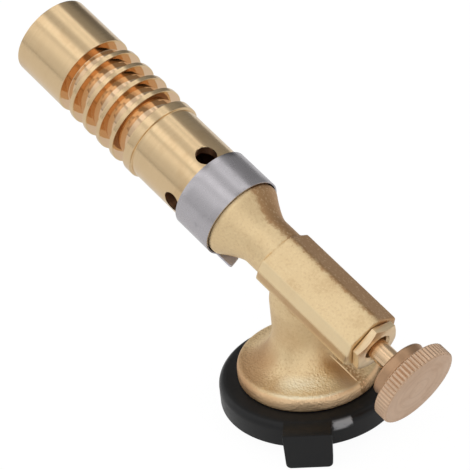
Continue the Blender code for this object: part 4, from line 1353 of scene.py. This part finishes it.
@dataclass
class TorchBody(SubAssembly):
    """The brass forging: bell, neck, valve block, pedestal and dome in one."""

    voxel: float = 0.36 * MM
    neck_radius: float = 8.5 * MM
    bell_radius: float = 13.3 * MM
    bell_start: float = 16.0 * MM
    bell_end: float = 25.5 * MM
    bell_power: float = 1.3
    bell_steps: int = 12
    spigot_start: float = 28.3 * MM
    spigot_radius: float = 11.1 * MM
    spigot_end: float = 36.7 * MM
    block_start: float = -31.2 * MM
    block_end: Pair = span(7.8, 9.7)
    block_top: float = 9.7 * MM
    block_bottom: float = 10.3 * MM
    block_half: float = 10.0 * MM
    block_edge: float = 0.5 * MM
    shoulder_half: float = 9.4 * MM
    shoulder: float = 4.64 * MM
    ridge_half: float = 0.9 * MM
    notch_radius: float = 3.0 * MM
    notch_drop: float = 9.8 * MM
    pedestal_radius: float = 10.2 * MM
    flare_top: float = 26.2 * MM
    flare_bottom: float = 13.6 * MM
    flare_radius: float = 20.9 * MM
    dome_radius: float = 22.3 * MM
    dome_bottom: float = 8.5 * MM
    band_height: float = 2.7 * MM
    boss_radius: float = 9.0 * MM
    boss_bottom: float = 5.5 * MM
    top_start: float = 36.0 * MM
    top_end: float = 39.0 * MM
    top_step: float = 0.5 * MM
    top_radius: float = 8.0 * MM
    top: float = 40.5 * MM
    spindle_way: Points = mm((5.9, -22.8), (4.2, -22.8), (4.2, -3.2), (3.4, -3.2), (3.4, 3.2), (1.5, 4.7),
                             (1.5, 18.9), (3.7, 18.9), (3.7, 26.2), (8.8, 26.2))
    inlet_way: Points = mm((3.7, 15.5), (2.0, 17.5))

    def build(self) -> None:
        """Make and dress the body."""
        body = self.forging()
        self.bore(body)
        keep(plain(body, sharp=50), Body.TORCH, Slot.FORGED, self.finishes.forged, "torch_body")
        keep(self.parting_line(), Body.TORCH, Slot.FORGED, self.finishes.ridge)

    def bell(self) -> Mesh:
        """Turn the bell, neck and spigot along the torch's axis.

        Returns:
            Their mesh in the frame.
        """
        outline = [(self.neck_radius, 0)]
        for i in range(self.bell_steps + 1):
            part = i / self.bell_steps
            radius = self.neck_radius + (self.bell_radius - self.neck_radius) * part**self.bell_power
            outline.append((radius, self.bell_start + (self.bell_end - self.bell_start) * part))
        outline += [(self.bell_radius, self.spigot_start), (self.spigot_radius, self.spigot_start),
                    (self.spigot_radius, self.spigot_end)]
        mesh = turned(outline, closed=False)
        mesh.transform(self.axis.place)
        return mesh

    def block(self) -> Mesh:
        """Build the valve block of ten corners with its slanting front.

        Returns:
            Its mesh in the frame.
        """
        half = [(self.ridge_half, self.block_top), (self.shoulder_half, self.shoulder), (self.block_half, 0),
                (self.shoulder_half, -self.shoulder), (self.ridge_half, -self.block_bottom)]
        outline = half + [(-width, height) for width, height in reversed(half)]
        near, far = self.block_end
        slope = (far - near) / (self.block_top + self.block_bottom)
        mesh = lofted([
            [(-height, width, self.block_start) for width, height in outline],
            [(-height, width, near + slope * (self.block_top - height)) for width, height in outline],
        ])
        edge_rounded(mesh, self.block_edge, least=25)
        mesh.transform(self.axis.place)
        return mesh

    def pedestal(self) -> Mesh:
        """Turn the pedestal and the dome about the collar's axis.

        Returns:
            Their mesh.
        """
        band_top = self.dome_bottom + self.band_height
        rise = self.flare_bottom - band_top
        run = self.dome_radius - self.flare_radius
        sweep = self.flare_radius - self.pedestal_radius
        fall = self.flare_top - self.flare_bottom
        outline = [(self.boss_radius, self.boss_bottom), (self.boss_radius, self.dome_bottom),
                   (self.dome_radius, self.dome_bottom)]
        outline += [(self.dome_radius - run * (1 - cos(t)), band_top + rise * sin(t)) for t in quarter(8)]
        outline += [(self.flare_radius - sweep * sin(t), self.flare_top - fall * cos(t)) for t in quarter(24)]
        outline += [(self.pedestal_radius, self.top_start),
                    (self.pedestal_radius - self.top_step, self.top_end), (self.top_radius, self.top)]
        return turned(outline, closed=False)

    def forging(self) -> Thing:
        """Fuse the three shapes and soften where they meet, as a die does.

        Returns:
            The solid body without its bores.
        """
        body = shaped("torch_body_forged", merged(self.bell(), self.block(), self.pedestal()))
        fuse = body.modifiers.new("fuse", "REMESH")
        fuse.mode = "VOXEL"
        fuse.voxel_size = self.voxel
        soften = body.modifiers.new("soften", "SMOOTH")
        soften.factor = 0.5
        soften.iterations = 5
        return plain(body, sharp=60)

    def bore(self, body: Thing) -> None:
        """Bore the gland, the spindle's way, the jet's chamber, the inlet and the block's notch.

        Args:
            body: The solid body.
        """
        way = drawn_out(self.spindle_way, self.block_start - OVER, self.spigot_end + OVER)
        cut(body, shaped("torch_way", turned(way, steps=64, closed=False), self.axis.place))
        inlet = drawn_out(self.inlet_way, self.boss_bottom - OVER, self.axis.height)
        cut(body, shaped("inlet_way", turned(inlet, steps=48, closed=False)))
        reach = self.block_half + OVER
        notch = turned([(self.notch_radius, -reach), (self.notch_radius, reach)], steps=48, closed=False)
        level = Matrix.Translation((self.notch_drop, 0, self.block_start))
        notch.transform(level @ Matrix.Rotation(pi / 2, 4, "X"))
        cut(body, shaped("block_notch", notch, self.axis.place))

    def parting_line(self) -> Thing:
        """Make the thin sharp ridge down the dome under the knob.

        Returns:
            The ridge.
        """
        sections = []
        for i, (height, radius, turn) in enumerate(Ridge.places):
            share = sin(pi * (i + 0.5) / len(Ridge.places)) ** 0.5
            out = Vector((cos(turn), sin(turn), 0))
            along = Vector((-sin(turn), cos(turn), 0))
            foot = out * radius + Vector((0, 0, height))
            face = (out + Vector((0, 0, Ridge.upward_share))).normalized()
            corners = []
            for side, rise in Ridge.section_shares:
                proud = Ridge.proud * share * rise if rise else -Ridge.deep
                corners.append(foot + along * Ridge.half * side + face * proud)
            sections.append(corners)
        return plain(shaped("parting_ridge", lofted(sections)), sharp=60)


@dataclass
class Valve(SubAssembly):
    """The gland nut, the spindle and the knurled knob."""

    nut_flats: float = 15.0 * MM
    nut_turn: float = radians(15)
    nut_seat: float = -31.5 * MM
    nut_face: float = -34.1 * MM
    nut_bore: float = 4.3 * MM
    nut_edge: float = 0.14 * MM
    nut_lap: float = 1 * MM
    nut_chamfer: float = 0.1 * MM
    nut_chamfer_rise: float = 1.9 * MM
    nut_sink: float = 2 * MM
    nut_sink_front: float = 1.3 * MM
    nut_sink_depth: float = 0.7 * MM
    nose_overlap: float = 1.3 * MM
    nose_radius: float = 5.6 * MM
    nose_start: float = -26.4 * MM
    spindle_radius: float = 3.3 * MM
    spindle_edge: float = 0.12 * MM
    stub_radius: float = 2.4 * MM
    stub_length: float = 9.5 * MM
    plain_end: float = -21.1 * MM
    thread_start: float = -20.9 * MM
    thread_end: float = -11 * MM
    thread_pitch: float = 1.0 * MM
    thread_root: float = 3.45 * MM
    thread_crest: float = 3.9 * MM
    thread_crest_share: float = 0.4
    spindle_tip: Points = mm((3.3, -10.4), (3.3, -9.9), (3.9, -9.9), (3.9, -8.4), (3.0, -8.4), (3.0, -6.6),
                             (3.9, -6.6), (3.9, -5.1), (1.1, -5.1), (1.1, 2.9), (0.2, 5.3))
    knob_back: float = -41.4 * MM
    knob_face: float = -51.9 * MM
    rim_radius: float = 13.7 * MM
    rim_back: float = -47.0 * MM
    rim_rows: int = 5
    rim_start: float = 0.6 * MM
    rim_end: float = 0.45 * MM
    rim_edges: Points = mm((0.25, 0.3), (0.55, 0.45), (0.9, 0.45))
    rim_shoulder: Points = mm((11.4, 0.15), (12.9, -0.05), (13.25, -0.22))
    face_radii: Pair = span(6, 0.4)
    hub: Points = mm((4.2, 0), (8.6, 0.7), (9.3, 1.1), (9.6, 1.7), (9.3, 2.9))
    hub_end: Pair = span(9.7, 0.6)
    hub_edge: float = 0.3 * MM
    hub_gap: float = 0.3 * MM
    knob_bore: float = 2.7 * MM
    knob_bore_start: float = 0.7 * MM
    knob_bore_over: float = 1 * MM
    waist_radius: float = 8.9 * MM
    waist: float = -45.5 * MM
    ridge_count: int = 60
    ridge_steps: int = 10
    ridge_depth: float = 0.42 * MM
    ridge_reach: Pair = span(0.62, 0.05)
    ridge_power: float = 2.2

    def build(self) -> None:
        """Make and dress the valve's pieces."""
        keep(self.nut(), Body.TORCH, Slot.TURNED, self.finishes.nut, "packing_nut")
        keep(self.spindle(), Body.SPINDLE, Slot.TURNED, self.finishes.small, "spindle")
        keep(self.knob(), Body.SPINDLE, Slot.KNOB, self.finishes.knob, "valve_knob")

    def nut(self) -> Thing:
        """Make the hexagon nut, chamfered and countersunk.

        Returns:
            The nut.
        """
        flat = self.nut_flats / 2
        corner = flat / cos(pi / 6)
        turns = [pi - self.nut_turn + tau * i / 6 for i in range(6)]
        hexagon = prism([(corner * cos(t), corner * sin(t)) for t in turns], self.nut_face, self.nut_seat)
        nut = shaped("packing_nut_hexagon", edge_rounded(hexagon, self.nut_edge, steps=2))
        face = self.nut_face
        rim = [(flat - self.nut_chamfer, face - self.nut_lap), (flat + OVER, face - self.nut_lap),
               (flat + OVER, face + self.nut_chamfer_rise), (flat - self.nut_chamfer, face)]
        cut(nut, shaped("nut_chamfer", turned(rim, steps=96)))
        nose = [(self.nose_radius, face + self.nose_overlap), (self.nose_radius, self.nose_start)]
        cut(nut, shaped("nut_nose", turned(nose, steps=64, closed=False)), "UNION")
        bore = [(self.nut_bore + self.nut_sink, face - self.nut_sink_front),
                (self.nut_bore, face + self.nut_sink_depth), (self.nut_bore, self.nose_start + self.nut_lap)]
        cut(nut, shaped("nut_bore", turned(bore, steps=64, closed=False)))
        plain(nut, sharp=30)
        nut.data.transform(self.axis.place)
        return nut

    def spindle(self) -> Thing:
        """Turn the spindle with its thread ridges, ring groove and needle.

        Returns:
            The spindle.
        """
        back = self.knob_back
        outline = [(self.stub_radius, back - self.stub_length), (self.stub_radius, back),
                   (self.spindle_radius, back), (self.spindle_radius, self.plain_end)]
        thread = self.thread_start
        while thread < self.thread_end:
            crest = thread + self.thread_crest_share * self.thread_pitch
            outline += [(self.thread_root, thread), (self.thread_crest, crest)]
            thread += self.thread_pitch
        outline += self.spindle_tip
        mesh = turned(softened(outline, self.spindle_edge, closed=False), steps=64, closed=False)
        return plain(shaped("spindle_turned", mesh, self.axis.place), sharp=35)

    def knob_outline(self) -> Outline:
        """Draw the knob from its back, over the smooth hub, the waist and the rim, to its face.

        Returns:
            Its points (radius, station).
        """
        hub = [(self.spindle_radius + self.hub_gap, self.knob_back)]
        hub += [(radius, self.knob_back - behind) for radius, behind in self.hub]
        hub += [(self.waist_radius, self.waist), (self.hub_end[0], self.rim_back + self.hub_end[1])]
        outline = softened(hub, self.hub_edge, closed=False)
        outline += [(radius, self.rim_back + rise) for radius, rise in self.rim_shoulder]
        start = self.rim_back - self.rim_start
        end = self.knob_face + self.rim_end
        rows = range(self.rim_rows + 1)
        outline += [(self.rim_radius, start + (end - start) * k / self.rim_rows) for k in rows]
        outline += [(self.rim_radius - inward, end - on) for inward, on in self.rim_edges]
        return outline + [(radius, self.knob_face) for radius in self.face_radii]

    def knob(self) -> Thing:
        """Turn the knob and press the straight ridges into its rim with Geometry Nodes.

        Returns:
            The knob.
        """
        mesh = turned(self.knob_outline(), self.ridge_count * self.ridge_steps, closed=False)
        knob = shaped("valve_knob_knurled", mesh)
        tree = GeometryTree("rim_ridges", {"Ridges": self.ridge_count, "Depth": self.ridge_depth})
        x, y, _ = tree.parts(tree.out("GeometryNodeInputPosition"))
        turn = y.sum("ARCTAN2", y, x)
        wave = ((turn * tree.size("Ridges")).wave() * 0.5 + 0.5) ** self.ridge_power
        radius = length(x, y)
        ridged = radius.step(*(self.rim_radius - inside for inside in self.ridge_reach))
        inward = wave * ridged * tree.size("Depth") / radius * -1
        shift = tree.vector(x * inward, y * inward)
        moved = tree.out("GeometryNodeSetPosition", {"Geometry": tree.given["Geometry"], "Offset": shift})
        tree.run(moved, knob, self.finishes.knob, sharp=30)
        bore = [(self.knob_bore, self.knob_face + self.knob_bore_start),
                (self.knob_bore, self.knob_back + self.knob_bore_over)]
        cut(knob, shaped("knob_bore", turned(bore, steps=48, closed=False)))
        knob.data.transform(self.axis.place)
        return plain(knob, sharp=30)


@dataclass
class CollarGroup:
    """The black collar with its tab, the claw plate and its screws, and the inlet."""

    finishes: Finishes
    radius: float = 28.4 * MM
    height: float = 8.2 * MM
    skirt: float = 2.6 * MM
    edge: float = 2.8 * MM
    small_edge: float = 0.3 * MM
    ceiling: float = 5.5 * MM
    hole_radius: float = 9.3 * MM
    ledge_radius: float = 21.6 * MM
    ledge_bottom: float = 3.1 * MM
    tab_turn: float = radians(134.9)
    tab_width: float = 15.0 * MM
    tab_reach: float = 33.2 * MM
    tab_thickness: float = 3.6 * MM
    tab_drop: float = 4.1 * MM
    tab_corner: float = 1.6 * MM
    tab_taper: float = 0.4 * MM
    tab_step: float = 0.2 * MM
    arm_inset: float = 0.2 * MM
    arm_overlap: float = 0.6 * MM
    arm_lift: float = 0.3 * MM
    thin_edge: float = 0.15 * MM
    plate_bottom: float = 1.6 * MM
    plate_top: float = 2.8 * MM
    plate_radius: float = 25.5 * MM
    opening_radius: float = 20.8 * MM
    claw_reach: float = 2.4 * MM
    claw_root: float = 2.3 * MM
    claw_width: float = 11.0 * MM
    claw_count: int = 3
    screw_circle: float = 23.3 * MM
    screw_sunk: float = 0.3 * MM
    screw_edge: float = 0.12 * MM
    screw: Points = mm((1.7, -0.8), (1.7, 0), (0.9, 0), (0.9, 5.2))
    slot: Points = mm((-3, -0.25), (3, -0.25), (3, 0.25), (-3, 0.25))
    slot_span: Pair = span(-1.8, -0.4)
    inlet: Points = mm((12.0, 3.2), (12.0, 5.2), (3.4, 5.2), (3.4, 8.8), (2.8, 8.8), (2.8, 10.6), (3.4, 10.6),
                       (3.4, 15.2), (1.5, 15.2), (1.5, 6.4), (2.4, 6.4), (2.4, 4.2), (5.9, 4.2), (5.9, 3.2))

    def build(self) -> None:
        """Make and dress the collar's pieces."""
        screws = [f"plate_screw_{i}" for i in (1, 2, 3)]
        keep(self.collar(), Body.TORCH, Slot.PLASTIC, self.finishes.plastic, "collar")
        keep(self.plate(), Body.TORCH, Slot.STEEL, self.finishes.plate, "bayonet_plate")
        keep(self.screws(), Body.TORCH, Slot.STEEL, self.finishes.plate, *screws)
        keep(self.stem(), Body.TORCH, Slot.TURNED, self.finishes.inlet, "inlet_stem")

    def collar(self) -> Thing:
        """Turn the collar and join its tab.

        Returns:
            The collar.
        """
        inner = self.radius - self.skirt
        x, y = self.radius - self.edge, self.height - self.edge
        outline = [(self.radius, 0)]
        outline += [(x + self.edge * cos(turn), y + self.edge * sin(turn)) for turn in quarter(8)]
        outline += [
            (self.hole_radius, self.height), (self.hole_radius, self.ceiling),
            (self.ledge_radius, self.ceiling), (self.ledge_radius, self.ledge_bottom),
            (inner, self.ledge_bottom), (inner, 0),
        ]
        collar = shaped("collar_moulded", turned(softened(outline, self.small_edge), steps=224))
        cut(collar, self.tab(), "UNION")
        return plain(collar, sharp=32)

    def tab(self) -> Thing:
        """Make the tab: its arm from the collar's top and its hanging lip.

        Returns:
            The tab, to be joined to the collar.
        """
        half = self.tab_width / 2
        top = self.height - self.tab_step
        low = self.tab_corner - self.tab_drop
        lower = half - self.tab_taper - self.tab_corner
        outline = [(half, top), (-half, top)]
        for start, x in ((pi, -lower), (1.5 * pi, lower)):
            turns = [start + turn for turn in quarter(5)]
            outline += [(x + self.tab_corner * cos(t), low + self.tab_corner * sin(t)) for t in turns]
        lip = prism(outline, -self.tab_reach, -self.tab_reach + self.tab_thickness)
        edge_rounded(lip, self.small_edge, least=50)
        lip.transform(Matrix.Rotation(self.tab_turn - pi / 2, 4, "Z") @ Matrix.Rotation(pi / 2, 4, "X"))
        side = half - self.arm_inset
        inner = self.radius - self.edge - self.arm_overlap
        outer = self.tab_reach - self.tab_thickness / 2
        corners = [(inner, -side), (outer, -side), (outer, side), (inner, side)]
        arm = prism(corners, self.ledge_bottom + self.arm_lift, top - APART)
        arm.transform(Matrix.Rotation(self.tab_turn, 4, "Z"))
        tab = shaped("collar_tab", lip)
        cut(tab, shaped("collar_tab_arm", arm), "UNION")
        return tab

    def plate(self) -> Thing:
        """Make the steel ring and set its claws round it with Geometry Nodes.

        Returns:
            The plate.
        """
        ring = box(self.plate_radius, self.opening_radius, self.plate_bottom, self.plate_top)
        plate = shaped("bayonet_plate_ring", turned(softened(ring, self.thin_edge, steps=2)))
        tree = GeometryTree("plate_claws", {"Claws": self.claw_count, "Width": self.claw_width})
        deep = self.claw_reach + self.claw_root
        size = tree.vector(deep, tree.size("Width"), self.plate_top - self.plate_bottom - APART)
        middle = self.opening_radius - self.claw_reach + deep / 2
        level = (self.plate_top + self.plate_bottom) / 2
        claw = tree.moved(tree.out("GeometryNodeMeshCube", {"Size": size}), (middle, 0, level))
        claws = tree.real(tree.around("Claws", claw, self.tab_turn))
        values = {"Mesh 2": tree.given["Geometry"]}
        joined = tree.add("GeometryNodeMeshBoolean", values, operation="UNION", solver="EXACT")
        tree.feed(joined.inputs["Mesh 2"], claws)
        return tree.run(joined.outputs[0], plate, self.finishes.plate, sharp=30)

    def screws(self) -> Thing:
        """Make one slotted screw and repeat it round the plate with Geometry Nodes.

        Returns:
            The screws as one object.
        """
        top = self.plate_bottom - self.screw_sunk
        outline = [(radius, top + height) for radius, height in self.screw]
        outline = softened(outline, self.screw_edge, steps=2, closed=False)
        screw = shaped("plate_screws", turned(outline, steps=32, closed=False))
        low, high = self.slot_span
        cut(screw, shaped("screw_slot", prism(self.slot, top + low, top + high)))
        tree = GeometryTree("screw_ring", {"Screws": self.claw_count, "Circle": self.screw_circle})
        out = tree.moved(tree.given["Geometry"], tree.vector(tree.size("Circle")))
        ring = tree.around("Screws", out, self.tab_turn + pi / self.claw_count)
        return tree.run(ring, screw, self.finishes.plate, sharp=30)

    def stem(self) -> Thing:
        """Turn the inlet stem with its flange and seal recess.

        Returns:
            The stem.
        """
        mesh = turned(softened(self.inlet, self.thin_edge, steps=2), steps=96)
        return plain(shaped("inlet_stem_turned", mesh), sharp=32)


@dataclass
class HiddenPieces:
    """CAD pieces that keep their own shape and get a real finish."""

    finishes: Finishes

    def build(self) -> None:
        """Dress the pieces."""
        dressed = {
            self.finishes.small: ("jet", "gland_washer"),
            self.finishes.sintered: ("jet_filter", "inlet_filter"),
            self.finishes.packing: ("gland_packing",),
            self.finishes.rubber: ("spindle_o_ring", "stem_o_ring", "cartridge_seal"),
        }
        for finish, names in dressed.items():
            for name in names:
                wear(frame["nodes"][name], finish)
                LOG.info("%s keeps its shape", name)


# Studio


@dataclass(frozen=True)
class SoftPatch:
    """A round patch of the surround that is brighter or darker than the rest."""

    way: Triple
    outer: float
    inner: float
    change: float

    def shade_of(self, maker: NodeMaker, ways: Socket) -> Term:
        """What the patch adds to the surround's level.

        Args:
            maker: What adds nodes.
            ways: The direction looked in.

        Returns:
            The change.
        """
        values = {0: ways, 1: Vector(self.way).normalized()}
        near = maker.add("ShaderNodeVectorMath", values, operation="DOT_PRODUCT")
        return Term(maker, near.outputs["Value"]).step(self.outer, self.inner) * self.change


def seen_by(maker: NodeMaker) -> tuple[Term, Term]:
    """Whether the camera looks, and whether metal or glass does.

    Args:
        maker: What adds nodes.

    Returns:
        Two terms, each 0 or 1.
    """
    rays = maker.add("ShaderNodeLightPath")
    kinds = ("Camera", "Glossy", "Transmission")
    camera, glossy, through = (Term(maker, rays.outputs[f"Is {kind} Ray"]) for kind in kinds)
    both = glossy + through
    return camera, both.sum("MINIMUM", both, 1.0)


@dataclass
class Studio:
    """The camera, the pale floor, the soft lamps and the white surround."""

    lens: float = 168.5
    sensor: float = 36.0
    camera_place: Triple = (-0.419141, 0.359531, 0.411912)
    camera_right: Triple = (-0.6686721, -0.73752689, -0.09450768)
    camera_up: Triple = (0.34635756, -0.42141953, 0.83811814)
    camera_back: Triple = (-0.65796205, 0.52769277, 0.5372395)
    white: Triple = (1, 1, 1)
    floor_colour: Triple = (0.85, 0.85, 0.85)
    floor_height: float = -4.15 * MM
    floor_size: float = 6.0
    floor_glow: float = 1.06
    floor_mirror: Pair = (0.40, 0.36)
    shadow_share: float = 0.10
    aim: Triple = (0.03, 0, 0.05)
    patches: tuple[SoftPatch, ...] = (
        SoftPatch((0.72, -0.61, 0.33), 0.88, 0.97, -0.30),
        SoftPatch((0.07, -0.36, 0.93), 0.990, 0.997, -0.40),
    )
    bands: tuple[Triple, ...] = (
        (-0.58, -0.50, 0.82), (-0.40, -0.25, -0.33), (-0.22, -0.08, -0.42), (0.13, 0.25, 0.80),
        (0.46, 0.51, -0.52), (0.56, 0.62, 0.30), (0.72, 0.90, -0.33),
    )

    def build(self) -> None:
        """Set everything up."""
        self.camera()
        self.floor()
        self.lamp("top_lamp", (0.05, -0.09, 0.9), size=0.46, level=0.32)
        self.lamp("side_lamp", (-0.5, 0.9, 0.45), size=0.6, level=0.25)
        self.surround()
        bpy.context.scene.view_settings.view_transform = "Standard"

    def hang(self, name: str, data: bpy.types.ID, place: Triple, turn: Matrix) -> Thing:
        """Put a camera or a lamp into the scene.

        Args:
            name: Its name.
            data: The camera's or the lamp's data.
            place: Where it hangs.
            turn: How it is turned.

        Returns:
            The object.
        """
        thing = bpy.data.objects.new(name, data)
        thing.matrix_world = Matrix.Translation(place) @ turn
        bpy.context.scene.collection.objects.link(thing)
        return thing

    def camera(self) -> None:
        """Place the camera as the photograph was taken."""
        data = bpy.data.cameras.new("camera")
        data.lens = self.lens
        data.sensor_width = self.sensor
        data.clip_start = 0.05
        data.clip_end = 50
        turn = Matrix((self.camera_right, self.camera_up, self.camera_back)).transposed().to_4x4()
        bpy.context.scene.camera = self.hang("camera", data, self.camera_place, turn)

    def floor(self) -> None:
        """Lay the pale floor, which is white to the camera but keeps the shadow."""
        mesh = bmesh.new()
        half = self.floor_size / 2
        corners = [(-half, -half), (half, -half), (half, half), (-half, half)]
        mesh.faces.new([mesh.verts.new((x, y, self.floor_height)) for x, y in corners])
        floor = shaped("floor", mesh)
        shader = Shader("pale_floor")
        shader.dress(Base_Color=shade(self.floor_colour), Roughness=0.9)
        matt = shader.principled.outputs[0]
        glow = shader.out("ShaderNodeEmission", {"Color": shade(self.white), "Strength": self.floor_glow})
        lit = shader.out("ShaderNodeMixShader", {0: self.shadow_share, 1: glow, 2: matt})
        camera, metal = seen_by(shader)
        across = shader.parts(shader.coordinates())[1]
        near, far = self.floor_mirror
        seen = camera + metal * (across.step(0.0, 0.3) * (far - near) + near)
        mixed = shader.out("ShaderNodeMixShader", {0: seen, 1: matt, 2: lit})
        shader.feed(shader.tree.nodes["Material Output"].inputs["Surface"], mixed)
        floor.data.materials.append(shader.material)

    def lamp(self, name: str, place: Triple, size: float, level: float) -> None:
        """Hang one soft square lamp that faces the torch.

        Args:
            name: Its name.
            place: Where it hangs.
            size: Its side.
            level: How bright its face looks; 1 is white.
        """
        data = bpy.data.lights.new(name, "AREA")
        data.shape = "SQUARE"
        data.size = size
        data.energy = level * pi * size**2
        aim = Vector(self.aim) - Vector(place)
        self.hang(name, data, place, aim.to_track_quat("-Z", "Y").to_matrix().to_4x4())

    def surround(self) -> None:
        """Make the world white to the camera, and a soft studio with bands and patches elsewhere."""
        world = bpy.data.worlds.new("surround")
        bpy.context.scene.world = world
        world.use_nodes = True
        maker = NodeMaker(world.node_tree)
        ways = maker.add("ShaderNodeTexCoord").outputs["Generated"]
        _, y, z = maker.parts(ways)
        level = z.step(0.0, 0.3) * 0.02 + 0.30
        for start, end, change in self.bands:
            level = level + y.step(start, end) * z.step(-0.1, 0.15) * change
        for patch in self.patches:
            level = level + patch.shade_of(maker, ways)
        camera, metal = seen_by(maker)
        level = level * (0.92 + metal * 0.08)
        strength = level + (1 - level) * camera
        background = world.node_tree.nodes["Background"]
        maker.feed(background.inputs["Color"], shade(self.white))
        maker.feed(background.inputs["Strength"], strength)


def main() -> None:
    """Build the torch, dress it and set up the studio."""
    logging.basicConfig(level=logging.INFO, format="%(message)s")
    axis = TorchAxis.from_joints(frame["joints"])
    finishes = Finishes(axis)
    for kind in (Burner, AirSleeve, TorchBody, Valve):
        kind(axis, finishes).build()
    CollarGroup(finishes).build()
    HiddenPieces(finishes).build()
    Studio().build()


if __name__ == "__main__":
    main()
